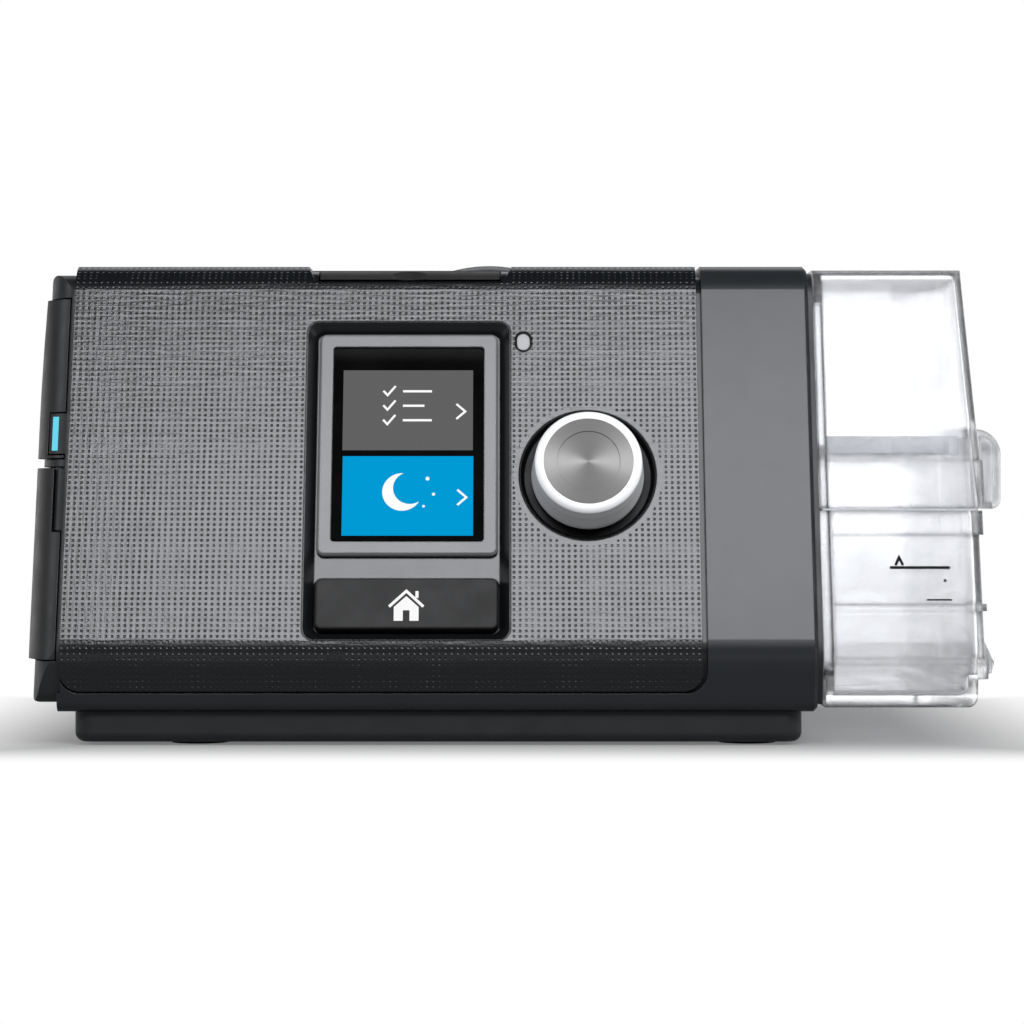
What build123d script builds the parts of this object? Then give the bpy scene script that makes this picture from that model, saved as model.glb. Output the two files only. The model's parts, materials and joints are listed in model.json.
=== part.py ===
from build123d import *
import os
from math import cos, radians, sin, tan

# A bedside CPAP machine: a case with a sloped front that holds a screen, a home button and a dial,
# a start bar in its top edge, a blower inside, and a heated bay at the right end for a water tub.
# Frame: +X along the length towards the tub, +Y to the rear, +Z up. The origin lies on the table,
# under the middle of the machine. Lengths in millimetres, angles in degrees.

# ---------------------------------------------------------------- lengths along X, left to right
CAP_DEPTH = 8.6
FASCIA_LENGTH = 134.1
GROOVE = 1.1
SLEEVE_LENGTH = 23.1
MOUTH_LIP = 1.1
TUB_GAP = 0.3
TUB_LENGTH = 34.7           # part of the tub outside the bay
THUMB_REACH = 5.0           # thumb flange past the tub's wall
LENGTH = (CAP_DEPTH + FASCIA_LENGTH + GROOVE + SLEEVE_LENGTH + MOUTH_LIP + TUB_GAP
          + TUB_LENGTH + THUMB_REACH)
CAP_X = -LENGTH / 2
CASE_X = CAP_X + CAP_DEPTH
FASCIA_END_X = CASE_X + FASCIA_LENGTH
SLEEVE_X = FASCIA_END_X + GROOVE
CASE_END_X = SLEEVE_X + SLEEVE_LENGTH
MOUTH_X = CASE_END_X + MOUTH_LIP
TUB_X = MOUTH_X + TUB_GAP
TUB_END_X = TUB_X + TUB_LENGTH
THUMB_END_X = TUB_END_X + THUMB_REACH

# ---------------------------------------------------------------- side outline of the case
CASE_DEPTH = 137.55
OUTLET_REACH = 12.45        # outlet stub past the rear wall
FRONT_Y = -(CASE_DEPTH + OUTLET_REACH) / 2
REAR_Y = FRONT_Y + CASE_DEPTH
PLINTH_HEIGHT = 7.1
CHIN_RISE = 12.15           # case bottom up to the foremost line
FACE_RISE = 83.05           # foremost line up to the top front edge
FACE_TILT = 18.5
UNDERCUT = 12.1
FLOOR_FROM_FRONT = 13.0     # flat floor inside the case
FLOOR_ROOM = 12.0
TOP_RISE = 1.0
BOTTOM_FRONT_R = 2.5
CHIN_R = 12.0
TOP_FRONT_R = 7.9
TOP_REAR_R = 9.0
BOTTOM_REAR_R = 3.0
CHIN_Z = PLINTH_HEIGHT + CHIN_RISE
TOP_FRONT_Z = CHIN_Z + FACE_RISE
CHIN_LEAN = (cos(radians(FACE_TILT)) + cos(radians(UNDERCUT))) / (1 + cos(radians(FACE_TILT + UNDERCUT)))
CHIN_Y = FRONT_Y - CHIN_R * (CHIN_LEAN - 1)
TOP_FRONT_Y = CHIN_Y + FACE_RISE * tan(radians(FACE_TILT))
TOP_REAR_Z = TOP_FRONT_Z + (REAR_Y - TOP_FRONT_Y) * tan(radians(TOP_RISE))
CASE_CORNERS = [                                     # (y, z, radius), anticlockwise from +X
    (CHIN_Y + CHIN_RISE * tan(radians(UNDERCUT)), PLINTH_HEIGHT, BOTTOM_FRONT_R),
    (REAR_Y, PLINTH_HEIGHT, BOTTOM_REAR_R),
    (REAR_Y, TOP_REAR_Z, TOP_REAR_R),
    (TOP_FRONT_Y, TOP_FRONT_Z, TOP_FRONT_R),
    (CHIN_Y, CHIN_Z, CHIN_R),
]

# ---------------------------------------------------------------- walls and clearances
CASE_WALL = 2.2
FASCIA_WALL = 2.0
FASCIA_GAP = 0.3            # fascia to the ledge behind it
LEDGE_WALL = 1.9
SEAM = 0.4                  # visible gap between fixed covers
FIT = 0.1                   # clearance of a piece held in an opening
LIP_REACH = 0.8             # casing's lip past the fascia's left edge
LIP_WALL = 1.6
EDGE_BREAK = 0.8
DOOR_GAP = 0.3
RUN_GAP = 0.1               # radial clearance of shafts and hinge pins
UNDER_FASCIA = FASCIA_WALL + FASCIA_GAP
UNDER_LEDGE = UNDER_FASCIA + LEDGE_WALL
FLOOR_Z = PLINTH_HEIGHT + CASE_WALL

# ---------------------------------------------------------------- fascia and rear cover
FASCIA_LIFT = 4.3           # case bottom to the fascia's lower edge
FASCIA_CORNER_R = 4.0
SPLIT_FROM_REAR = 19.55
SPLIT_Y = REAR_Y - SPLIT_FROM_REAR
FASCIA_Z = PLINTH_HEIGHT + FASCIA_LIFT
OUTLET_FROM_CASE_LEFT = 88.7
OUTLET_FALL = 34.5          # crown of the hood down to the outlet's axis
HOOD_HEIGHT = 109.5
OUTLET_X = CASE_X + OUTLET_FROM_CASE_LEFT
OUTLET_Z = HOOD_HEIGHT - OUTLET_FALL
HOOD_START_R = 29.6
HOOD_END_R = 27.0
HOOD_CROWN_FROM_SPLIT = 10.0
OUTLET_D = 22.0
OUTLET_WELL_D = 34.0
OUTLET_WELL_DEPTH = 10.0
SOCKET_FROM_OUTLET = 26.0
SOCKET_WIDTH = 17.0
SOCKET_HEIGHT = 12.0
SOCKET_LIFT = 14.0          # case bottom to the socket's middle
SOCKET_DEPTH = 12.0
SOCKET_FLANGE = 1.5
SOCKET_WALL = 1.8
SOCKET_FLOOR = 2.0
SOCKET_SET_BACK = 0.4
SOCKET_PIN_SHORT = 3.0      # pins inside the socket's mouth
SOCKET_PIN_D = 1.6
SOCKET_PIN_PITCH = 4.0
CLIP_MARGIN = 2.0           # clip's arms past the socket
CLIP_STANDOFF = 2.2
CLIP_RISE = 4.0
CLIP_DROP = 15.0
CLIP_THICK = 2.0
CLIP_PIN_D = 1.6
CLIP_EAR = 3.2              # height and reach of the ears that carry the clip
CLIP_EAR_THICK = 3.0
CLIP_EAR_GAP = 0.3          # clip's arms to its ears
PORT_SINK = 6.0             # neck of the hose connector, round the outlet duct
PORT_SINK_D = 21.0
PORT_HOLE_GAP = 1.0         # round the connector in the well's floor
PORT_FLANGE = 1.5
PORT_FLANGE_REACH = 4.0
PORT_EDGE = 0.5

# ---------------------------------------------------------------- sloped face
FACE_BASE_RISE = 2.35       # foremost line up to the face's zero line
SCREEN_FROM_CASE_LEFT = 72.2
RECESS_WIDTH = 43.9
RECESS_HEIGHT = 71.7
RECESS_LOW = 0.45
RECESS_R = 2.7
RECESS_DEPTH = 2.8
RECESS_LAND = 0.3
RECESS_SLOPE = 2.4          # width of the sloped inner walls
SURROUND_FLOOR = 1.6
SURROUND_FLANGE = 1.2
SURROUND_WALL = 1.5
SURROUND_POST_D = 3.6       # posts that carry the display board
SURROUND_POST_LOW = 0.5     # recess's lower edge up to the lower posts
SURROUND_POST_HIGH = 3.0    # recess's upper edge down to the upper posts
BEZEL_WIDTH = 38.4
BEZEL_LOW = 19.65
BEZEL_FROM_TOP = 2.5        # recess's upper edge down to the bezel
BEZEL_HEIGHT = RECESS_LOW + RECESS_HEIGHT - BEZEL_FROM_TOP - BEZEL_LOW
BEZEL_R = 1.6
BEZEL_RIM = 2.95
BEZEL_THICK = 1.6
BEZEL_EDGE = 0.5
GLASS_DEPTH = 1.9
GLASS_GAP = 0.1
LCD_MARGIN = 1.2
SWITCH_BODY = 1.0
BOARD_DEPTH = 8.2           # face to the display board's front
BOARD_THICK = 1.6
BOARD_TOP_MARGIN = 2.3      # bezel's top up to the display board's top
BOARD_LOW_MARGIN = 1.5      # recess's lower edge down to the display board's edge
BOARD_R = 1.5
BOARD_SLOT_DOWN = 16.0      # display board's top down to the slot for its ribbon
BOARD_SLOT_HEIGHT = 4.0
BUTTON_WIDTH = 38.2
BUTTON_HEIGHT = 11.05
BUTTON_LOW = 3.35
BUTTON_R = 1.3
BUTTON_GAP = 0.45
BUTTON_DEPTH = 0.6          # face to the button's front
BUTTON_TRAVEL = 0.8
BUTTON_FLANGE = 0.9
BUTTON_FLANGE_THICK = 0.9
BUTTON_EDGE = 0.4
BUTTON_WALL = 1.5
BUTTON_STEM_D = 4.0
SENSOR_FROM_SCREEN = 24.6
SENSOR_FALL = 4.75          # recess's upper edge down to the sensor
SENSOR_UP = RECESS_LOW + RECESS_HEIGHT - SENSOR_FALL
SENSOR_WIDTH = 3.7
SENSOR_HEIGHT = 4.7
SENSOR_RIM = 0.45
FACE_Z = CHIN_Z + FACE_BASE_RISE
SCREEN_X = CASE_X + SCREEN_FROM_CASE_LEFT

# ---------------------------------------------------------------- dial
DIAL_FROM_SCREEN = 38.2
DIAL_UP = 37.05
WELL_D = 29.3
WELL_DEPTH = 1.6
WELL_RIM = 1.2
WELL_FLANGE = 1.2
WELL_FLOOR = 1.5
WELL_WALL = 1.5
WELL_FIT = 0.15             # radial clearance of the cup in the fascia
WELL_LAND = 0.4
DIAL_D = 23.9               # foot of the knob
DIAL_RIM_D = 22.6
DIAL_CAP_D = 18.9
DIAL_CENTRE_D = 13.3
DIAL_HEIGHT = 9.5
DIAL_RIM_DROP = 0.9         # rounded rim below the cap's face
DIAL_TRAVEL = 0.8
DIAL_FOOT_GAP = DIAL_TRAVEL + 0.3   # knob to the well's floor
DIAL_WALL = 1.8
CAP_THICK = 1.6
DIAL_WEB = 1.6
DISH_SINK = 0.2             # shallow centre of the cap
SHAFT_D = 6.0
HUB_D = 9.6
ENCODER_SIZE = 12.0
PLUNGER_DEPTH = 6.3
DIAL_X = SCREEN_X + DIAL_FROM_SCREEN

# ---------------------------------------------------------------- start bar in the top edge
SCOOP_TOP_WIDTH = 44.0
SCOOP_FLOOR_WIDTH = 40.4
SCOOP_CORNER_R = 1.6
SCOOP_DROP = 4.0            # top front corner down to the scoop's lower edge
SCOOP_DEPTH = 1.0
SCOOP_REACH = 21.0          # front to back
BAR_LENGTH = 38.9
BAR_WALL = 2.2
BAR_GAP = 0.3
BAR_TRAVEL = 0.4
BAR_FOOT_GAP = BAR_TRAVEL + 0.1
BAR_LIFT = 1.0              # scoop's lower edge up to the bar
BAR_STEM_BACK = 8.0         # top front corner back to the bar's stem
BAR_STEM_D = 5.0
SWITCH_FALL = 12.0          # top front corner down to the switch board
SWITCH_HEIGHT = 1.2
SWITCH_SIZE = 6.0
SWITCH_POST_D = 5.0
SWITCH_POST_OUT = 6.0       # bar's end out to the post
SWITCH_BOARD_WIDTH = 10.0
SWITCH_BOARD_MARGIN = 4.0   # board's end past its post
DISH_D = 7.7
DISH_R = 8.0

# ---------------------------------------------------------------- left end
CAP_SETBACK = 1.9
CAP_STEP = 1.5              # end doors past the cover's end
CAP_WALL = 2.0
CAP_SWEEP = 16.0            # depth over which the front corner curves back
SWEEP_EASE = 0.06          # keeps the swept corner just off the flat end
CAP_EDGE_R = 2.4
BULKHEAD = 1.9
DOOR_STRIP = 0.9            # strip of the cap in front of the doors
DOOR_BOW_R = 740.0          # doors' outer face, bowed from top to bottom
DOOR_BOW_Z = 47.0
HINGE_LEAF = 2.5
DOOR_BACK_Y = -20.0
ADAPTER_DOOR_Z = 60.4
ADAPTER_DOOR_HEIGHT = 34.6
CARD_DOOR_Z = 18.0
CARD_DOOR_HEIGHT = 40.3
NOTCH_WIDTH = 2.0           # finger notch in the card door's front edge
NOTCH_DEPTH = 0.8
NOTCH_Z = 45.0
LED_FROM_CASE = 4.0
LED_RIM = 0.7
LED_Z = 62.0
LED_HEIGHT = 7.3
LED_WIDTH = 1.4
PIN_D = 1.0
PIN_GRIP = 3.0              # pin length inside the door
PIN_SEAT = 2.0              # pin length inside the cover beside the door
CARD_WIDTH = 24.0
CARD_LENGTH = 32.0
CARD_THICK = 2.1
CARD_GAP = 0.3
CARD_Y = -45.0
CARD_Z = 38.0
CARD_PROUD = 2.0
CARD_TRAVEL = 1.0
CARD_CORNER = 4.0
READER_WALL = 1.2
READER_END = 2.0
ADAPTER_PORT_D = 18.0
ADAPTER_PORT_Y = -40.0
ADAPTER_PORT_Z = 77.0
ADAPTER_PORT_WALL = 2.0
ADAPTER_PORT_LENGTH = 14.0
ADAPTER_PORT_PROUD = 1.0    # port's rim past the bulkhead
ADAPTER_FACE_DEPTH = 7.0    # port's rim down to its plug face

# ---------------------------------------------------------------- humidifier bay and tub
LINER_INSET = 4.5
LINER_WALL = 1.6
LINER_X = SLEEVE_X - 8.8    # outer face of the bay's end wall
MOUTH_INSET = 1.5
BAY_GAP = 0.5
BAY_END_GAP = 1.0
TUB_INSET = 0.8
TUB_WALL = 1.8
TUB_CORNER_R = 4.2
PANEL_SINK = 0.8
NECK = 2.1                  # narrow waist beside the mouth
LID_Z = 49.6
RIM_HEIGHT = 5.1
SEAL_THICK = 0.4
LEDGE_Z = 28.1
LEDGE_HEIGHT = 1.4
LOW_LEDGE_Z = 17.1
LOW_LEDGE_HEIGHT = 1.2
FOOT_BAND_Z = 13.9
TRAY_R = 2.0
TRAY_SHORT = 1.6            # bottom tray short of the panels at the free end
SKIRT_HEIGHT = 10.3         # thick band round the foot of the lid
SKIRT_PROUD = 0.5
LID_LEAN = 3.3              # free end leans in, degrees
INSERT_Z = 61.1
INSERT_HEIGHT = 3.9
INSERT_WIDTH = 3.2
INSERT_INNER_R = 0.8
SEAL_INSET = 0.4
INSERT_END_GAP = 2.6        # short of the lid's free end
THUMB_Y = -53.0
THUMB_WIDTH = 48.0
THUMB_HEIGHT = 17.1
THUMB_R = 5.5
THUMB_FOOT_R = 2.0
THUMB_WALL = 1.6
THUMB_ROOT = 6.0            # flange inside the lid's end wall
THUMB_INNER_R = 2.6
GRIP_HEIGHT = 10.3
GRIP_REACH = 3.6
GRIP_ROOT = 4.0
GRIP_EDGE = 0.6
HEATER_TOP_Z = 14.2
HEATER_THICK = 2.4
HEATER_GAP = 0.3
HEATER_Y = -4.0
HEATER_WIDTH = 84.0
PLATE_THICK = 1.8
PORT_D = 16.0
PORT_SEAL = 1.6
AIR_IN_Y = -14.0
AIR_IN_Z = 62.0
DUCT_WALL = 1.4
DUCT_ROOT = 10.0            # duct's start from the blower's axis
AIR_OUT_Y = 28.0
FLOW_SENSOR_LENGTH = 14.0
FLOW_SENSOR_WIDTH = 10.0
FLOW_SENSOR_HEIGHT = 8.4
FLOW_SENSOR_WRAP = 3.4      # how far the sensor reaches down the duct's sides

# ---------------------------------------------------------------- blower and filter
BLOWER_X = -52.0
BLOWER_Y = 8.0
BLOWER_D = 68.0
BLOWER_Z = 22.0
BLOWER_HEIGHT = 52.0
BLOWER_SPLIT = 24.0         # foot of the blower up to the joint of its two halves
BLOWER_WALL = 2.0
INTAKE_D = 24.0
IMPELLER_D = 54.0
IMPELLER_HEIGHT = 11.0
IMPELLER_DISC = 1.5
BLADE_THICK = 1.0
IMPELLER_LIFT = 33.0        # foot of the blower up to the impeller
BLADES = 12
BLADE_LEAN = 25.0
HUB_R = 6.0
MOTOR_D = 30.0
MOTOR_BORE = 20.0
MOTOR_HEIGHT = 16.0
MOTOR_LIFT = 8.0
MOTOR_SEAT = 3.0            # wall of the ring under the stator
MOTOR_AIR_GAP = 0.5
ROTOR_SHORT = 0.8           # rotor inside the stator's ends
AXLE_D = 4.0
BEARING_D = 10.0
BEARING_HEIGHT = 4.0
BEARING_SEAT = 2.0
AXLE_FOOT_GAP = 0.3
MOUNT_D = 8.0
MUFFLER_LENGTH = 64.0
MUFFLER_WIDTH = 64.0
MUFFLER_HEIGHT = 18.0
MUFFLER_SHIFT = 2.0         # blower's axis to the foam's middle
FILTER_FROM_CASE_LEFT = 27.9
FILTER_X = CASE_X + FILTER_FROM_CASE_LEFT
FILTER_WIDTH = 41.0
FILTER_HEIGHT = 56.0
FILTER_THICK = 5.0
FILTER_FRAME_LEDGE = 5.0    # frame's lip behind the filter
FILTER_SLOTS = 6
FILTER_SLOT_HEIGHT = 2.4
FILTER_SLOT_LEFT = 7.0      # door's edges in to its slots
FILTER_SLOT_RIGHT = 6.0
HINGE_MARGIN = 1.5          # filter's edge out to the cover's hinge
FILTER_Z = 55.0
FILTER_FRAME_DEPTH = 13.0
FILTER_FRAME_WALL = 1.6

# ---------------------------------------------------------------- plinth, feet, boards
PLINTH_LEFT_GAP = 2.3
PLINTH_RIGHT_GAP = 2.9
PLINTH_FRONT_GAP = 4.6
PLINTH_REAR_GAP = 5.0
PLINTH_R = 2.0
PLINTH_WALL = 2.2
FOOT_D = 12.0
FOOT_PROUD = 0.6
FOOT_SUNK = 0.8
SCREW_D = 3.0
SCREW_HEAD_D = 6.0
SCREW_HEAD = 2.2
SCREW_CLEAR = 0.4           # over a screw's diameter
SCREW_SEAT_GAP = 0.2
SCREW_BOSS_D = 8.0
SCREW_IN_X = 12.0
SCREW_IN_Y = 20.0
SCREW_OFF_SEAM = 5.0
SCREW_OFF_SPLIT = 6.0
FOOT_IN_X = 28.0
FOOT_IN_Y = 15.0
NUT_D = 5.6
NUT_HEIGHT = 2.4
SPACER_D = 5.0
MAIN_BOARD_X = 7.0
MAIN_BOARD_Y = -7.0
MAIN_BOARD_LENGTH = 40.0
MAIN_BOARD_WIDTH = 74.0
MAIN_BOARD_LIFT = 5.0
BOARD_POST_IN_X = 4.0
BOARD_POST_IN_Y = 5.0
CAPACITOR_D = 8.0
CAPACITOR_HEIGHT = 11.0
CHIP_SIZE = 11.0
CHIP_HEIGHT = 1.6
RADIO_LENGTH = 28.0
RADIO_WIDTH = 18.0
RADIO_HEIGHT = 3.0
PLUG_LENGTH = 14.0
PLUG_SIZE = 6.0

# ---------------------------------------------------------------- places that follow from the sizes
OUTWARD = Vector(0, -cos(radians(FACE_TILT)), sin(radians(FACE_TILT)))
UPWARD = Vector(0, sin(radians(FACE_TILT)), cos(radians(FACE_TILT)))
FACE_Y = CHIN_Y + FACE_BASE_RISE * tan(radians(FACE_TILT))
FACE = Plane(origin=(0, FACE_Y, FACE_Z), x_dir=(1, 0, 0), z_dir=OUTWARD)
FAR = 300.0                 # longer than the machine, for cutting bodies

CAP_INNER_X = CASE_X - BULKHEAD
DOOR_HINGE_X = CAP_X + CAP_STEP + CAP_WALL / 2
LED_X = CASE_X - LED_FROM_CASE
NOTCH_X = CASE_X - DOOR_STRIP - NOTCH_WIDTH
ADAPTER_DOOR_TOP = ADAPTER_DOOR_Z + ADAPTER_DOOR_HEIGHT
CARD_DOOR_TOP = CARD_DOOR_Z + CARD_DOOR_HEIGHT
FILTER_DOOR_Z0 = FILTER_Z - FILTER_HEIGHT / 2
FILTER_DOOR_Z1 = FILTER_Z + FILTER_HEIGHT / 2
FILTER_DOOR_X1 = FILTER_X + FILTER_WIDTH / 2
FILTER_HINGE_X = FILTER_X - FILTER_WIDTH / 2 - HINGE_MARGIN
FILTER_HINGE_Y = REAR_Y - CASE_WALL / 2
SOCKET_X = OUTLET_X + SOCKET_FROM_OUTLET
SOCKET_Z = PLINTH_HEIGHT + SOCKET_LIFT
CLIP_SPAN = SOCKET_WIDTH + 2 * CLIP_MARGIN
CLIP_Y = REAR_Y + CLIP_STANDOFF
CLIP_Z = SOCKET_Z + SOCKET_HEIGHT / 2 + CLIP_RISE
SWITCH_Z = TOP_FRONT_Z - SWITCH_FALL
SWITCH_Y = TOP_FRONT_Y + BAR_STEM_BACK
SWITCH_POST_X = [SCREEN_X + side * (BAR_LENGTH / 2 + SWITCH_POST_OUT) for side in (-1, 1)]
MAIN_BOARD_Z = FLOOR_Z + MAIN_BOARD_LIFT
MAIN_BOARD_POSTS = [(MAIN_BOARD_X + sx * (MAIN_BOARD_LENGTH / 2 - BOARD_POST_IN_X),
                     MAIN_BOARD_Y + sy * (MAIN_BOARD_WIDTH / 2 - BOARD_POST_IN_Y)) for sx in (-1, 1) for sy in (-1, 1)]
BLOWER_FEET = [(BLOWER_X + sx * BLOWER_D * 0.28, BLOWER_Y + sy * BLOWER_D * 0.28)
               for sx in (-1, 1) for sy in (-1, 1)]
FEET = [(x, y) for x in (CASE_X + FOOT_IN_X, CASE_END_X - FOOT_IN_X / 2)
        for y in (FRONT_Y + FOOT_IN_Y, REAR_Y - FOOT_IN_Y)]
CASE_SCREWS = [(x, y) for x in (CASE_X + SCREW_IN_X, SLEEVE_X - SCREW_IN_X - SCREW_OFF_SEAM)
               for y in (FRONT_Y + SCREW_IN_Y, SPLIT_Y - SCREW_OFF_SPLIT)]
BAY_X = LINER_X + LINER_WALL            # inner face of the bay's end wall
TUB_INNER_X = BAY_X + BAY_END_GAP
TUB_PANEL_X = TUB_X + NECK
BAY_INSET = LINER_INSET + LINER_WALL
TUB_INNER_INSET = BAY_INSET + BAY_GAP
TUB_FLOOR_Z = HEATER_TOP_Z + HEATER_GAP
BASE_TOP_Z = LID_Z - SEAL_THICK
DUCT_D = PORT_D + 2 * DUCT_WALL
BLOWER_TOP_Z = BLOWER_Z + BLOWER_HEIGHT
BLOWER_JOINT_Z = BLOWER_Z + BLOWER_SPLIT
IMPELLER_Z = BLOWER_Z + IMPELLER_LIFT
DIAL_FOOT = DIAL_FOOT_GAP - WELL_DEPTH  # height of the knob's foot over the face
DIAL_TOP = DIAL_FOOT + DIAL_HEIGHT
GLASS_WIDTH = BEZEL_WIDTH - 2 * BEZEL_RIM
GLASS_HEIGHT = BEZEL_HEIGHT - 2 * BEZEL_RIM
GLASS_LOW = BEZEL_LOW + BEZEL_RIM
LCD_WIDTH = GLASS_WIDTH - 2 * LCD_MARGIN
LCD_HEIGHT = GLASS_HEIGHT - 2 * LCD_MARGIN
LCD_LOW = GLASS_LOW + LCD_MARGIN
SURROUND_BACK = UNDER_LEDGE + 1.3
BUTTON_BACK = RECESS_DEPTH + SURROUND_FLOOR + 0.3
BUTTON_MIDDLE = BUTTON_LOW + BUTTON_HEIGHT / 2
SWITCH_DEPTH = BOARD_DEPTH - SWITCH_BODY
DUCT_END_Y = REAR_Y - OUTLET_WELL_DEPTH - CASE_WALL


# ================================================================ shapes shared by the pieces
def block(x0, x1, y0, y1, z0, z1):
    """Box between two opposite corners."""
    return Pos((x0 + x1) / 2, (y0 + y1) / 2, (z0 + z1) / 2) * Box(x1 - x0, y1 - y0, z1 - z0)


def rod(axis, x, y, z, diameter, length):
    """Cylinder from a point along X, Y or Z."""
    turn = {"X": Rot(0, 90, 0), "Y": Rot(-90, 0, 0), "Z": Rot(0, 0, 0)}[axis]
    return Pos(x, y, z) * turn * Pos(0, 0, length / 2) * Cylinder(diameter / 2, length)


def tube(axis, x, y, z, outer, inner, length):
    """Rod with a bore."""
    return rod(axis, x, y, z, outer, length) - rod(axis, x, y, z, inner, length)


def side_outline(inset=0.0, least_radius=0.5):
    """Side outline of the case with every side moved in, in the YZ plane."""
    corners = [Vector(y, z) for y, z, _ in CASE_CORNERS]
    moved, radii = [], []
    for i, corner in enumerate(corners):
        arriving = (corner - corners[i - 1]).normalized()
        leaving = (corners[(i + 1) % len(corners)] - corner).normalized()
        inward = Vector(-arriving.Y - leaving.Y, arriving.X + leaving.X)
        moved.append(corner + inward * (inset / (1 + arriving.dot(leaving))))
        radii.append(max(CASE_CORNERS[i][2] - inset, least_radius))
    return make_face(FilletPolyline(*moved, radius=radii, close=True))


def case_slab(inset, x0, x1, least_radius=0.5):
    """Slice of the case's volume between two X planes."""
    return extrude(Plane.YZ.offset(x0) * side_outline(inset, least_radius), amount=x1 - x0)


def face_plate(x0, x1, u0, u1, shallow, deep, radius=0.0):
    """Plate parallel to the sloped face, between two depths below it."""
    outline = RectangleRounded(x1 - x0, u1 - u0, radius) if radius else Rectangle(x1 - x0, u1 - u0)
    place = FACE.location * Pos((x0 + x1) / 2, (u0 + u1) / 2, -deep)
    return extrude(place * outline, amount=deep - shallow, dir=OUTWARD)


def screen_plate(width, low, height, shallow, deep, radius=0.0):
    """Plate centred on the screen's middle line."""
    return face_plate(SCREEN_X - width / 2, SCREEN_X + width / 2, low, low + height,
                      shallow, deep, radius)


def face_disc(x, u, diameter, shallow, deep):
    """Disc square to the sloped face, between two depths below it."""
    return FACE.location * Pos(x, u, -(shallow + deep) / 2) * Cylinder(diameter / 2, deep - shallow)


def face_oval(x, u, width, height, shallow, deep):
    """Upright oval post square to the sloped face."""
    place = FACE.location * Pos(x, u, -deep)
    outline = RectangleRounded(width, height, width / 2 - 0.01)
    return extrude(place * outline, amount=deep - shallow, dir=OUTWARD)


def fascia_region(gap, groove):
    """Space that bounds the fascia over the front and the top."""
    x0, x1 = CASE_X - gap, FASCIA_END_X + groove
    radius = FASCIA_CORNER_R + gap
    tall, long = FAR, FAR
    front_view = Pos((x0 + x1) / 2, FASCIA_Z - gap + tall / 2) * RectangleRounded(x1 - x0, tall, radius)
    top_view = Pos((x0 + x1) / 2, SPLIT_Y - SEAM + gap - long / 2) * RectangleRounded(x1 - x0, long, radius)
    return extrude(Plane.XZ * front_view, amount=FAR, both=True) & extrude(top_view, amount=FAR, both=True)


def scoop():
    """Finger scoop in the top front edge: a trapezoid seen from the front, sunk by its depth."""
    low, high = TOP_FRONT_Z - SCOOP_DROP, TOP_FRONT_Z + SCOOP_DROP
    half_floor = SCOOP_FLOOR_WIDTH / 2
    half_top = half_floor + SCOOP_TOP_WIDTH - SCOOP_FLOOR_WIDTH
    outline = make_face(FilletPolyline((-half_floor, low), (half_floor, low), (half_top, high),
                                       (-half_top, high), radius=SCOOP_CORNER_R, close=True))
    reach = extrude(Plane.XZ * Pos(SCREEN_X, 0) * outline, amount=-FAR, both=True)
    reach &= block(-FAR, FAR, -FAR, TOP_FRONT_Y + SCOOP_REACH, 0, FAR)
    return reach - case_slab(SCOOP_DEPTH, -FAR, FAR)


def bar_opening(x_gap, low_gap, back_gap):
    """Space of the start bar, seen from above, with its clearances."""
    half = BAR_LENGTH / 2 + x_gap
    low = TOP_FRONT_Z - SCOOP_DROP + BAR_LIFT - low_gap
    back = TOP_FRONT_Y + SCOOP_REACH - SCOOP_DEPTH - BAR_GAP + back_gap
    return block(SCREEN_X - half, SCREEN_X + half, -FAR, back, low, FAR)


# ================================================================ case
def main_casing():
    """Smooth wrap: ledge behind the fascia, lip under it, and the sleeve round the bay."""
    body = case_slab(0, CASE_X, CASE_END_X)
    body = chamfer(body.faces().sort_by(Axis.X)[-1].edges(), EDGE_BREAK)
    pocket = case_slab(-GROOVE, CASE_X - 1, SLEEVE_X + 1)
    pocket -= case_slab(UNDER_FASCIA, CASE_X - 1, SLEEVE_X + 1)
    body -= pocket & fascia_region(SEAM, GROOVE)
    step_x = SLEEVE_X + LEDGE_WALL
    body -= case_slab(UNDER_LEDGE, CASE_X - 1, step_x)
    body -= block(CASE_X - 1, step_x, FRONT_Y + FLOOR_FROM_FRONT, SPLIT_Y + 1,
                  FLOOR_Z, FLOOR_Z + FLOOR_ROOM)
    body -= case_slab(CASE_WALL, step_x, CASE_END_X + 1)
    body += ((case_slab(0, CASE_X - LIP_REACH, CASE_X) - case_slab(LIP_WALL, CASE_X - 1, CASE_X + 1))
             & block(-FAR, FAR, -FAR, FAR, 0, FASCIA_Z - SEAM))
    body -= block(-FAR, FAR, SPLIT_Y, FAR, 0, FAR)
    body -= screen_plate(RECESS_WIDTH + 2 * SEAM, RECESS_LOW - SEAM, RECESS_HEIGHT + 2 * SEAM,
                         -1, 2 * UNDER_LEDGE)
    body -= face_disc(DIAL_X, DIAL_UP, WELL_D + 2 * SEAM, -1, 2 * UNDER_LEDGE)
    body -= face_oval(SCREEN_X + SENSOR_FROM_SCREEN, SENSOR_UP, SENSOR_WIDTH + 2 * FIT,
                      SENSOR_HEIGHT + 2 * FIT, -1, 2 * UNDER_LEDGE)
    body -= bar_opening(2 * BAR_GAP, BAR_LIFT + 2 * BAR_GAP, 2 * BAR_GAP)
    for x in SWITCH_POST_X:
        post = rod("Z", x, SWITCH_Y, SWITCH_Z + BOARD_THICK, SWITCH_POST_D, TOP_FRONT_Z - SWITCH_Z)
        body += post & case_slab(UNDER_LEDGE - 0.5, CASE_X, SLEEVE_X)
    for x, y in CASE_SCREWS:
        body -= rod("Z", x, y, PLINTH_HEIGHT - 1, SCREW_D + SCREW_CLEAR, 2 * CASE_WALL + 1)
    return body


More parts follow.
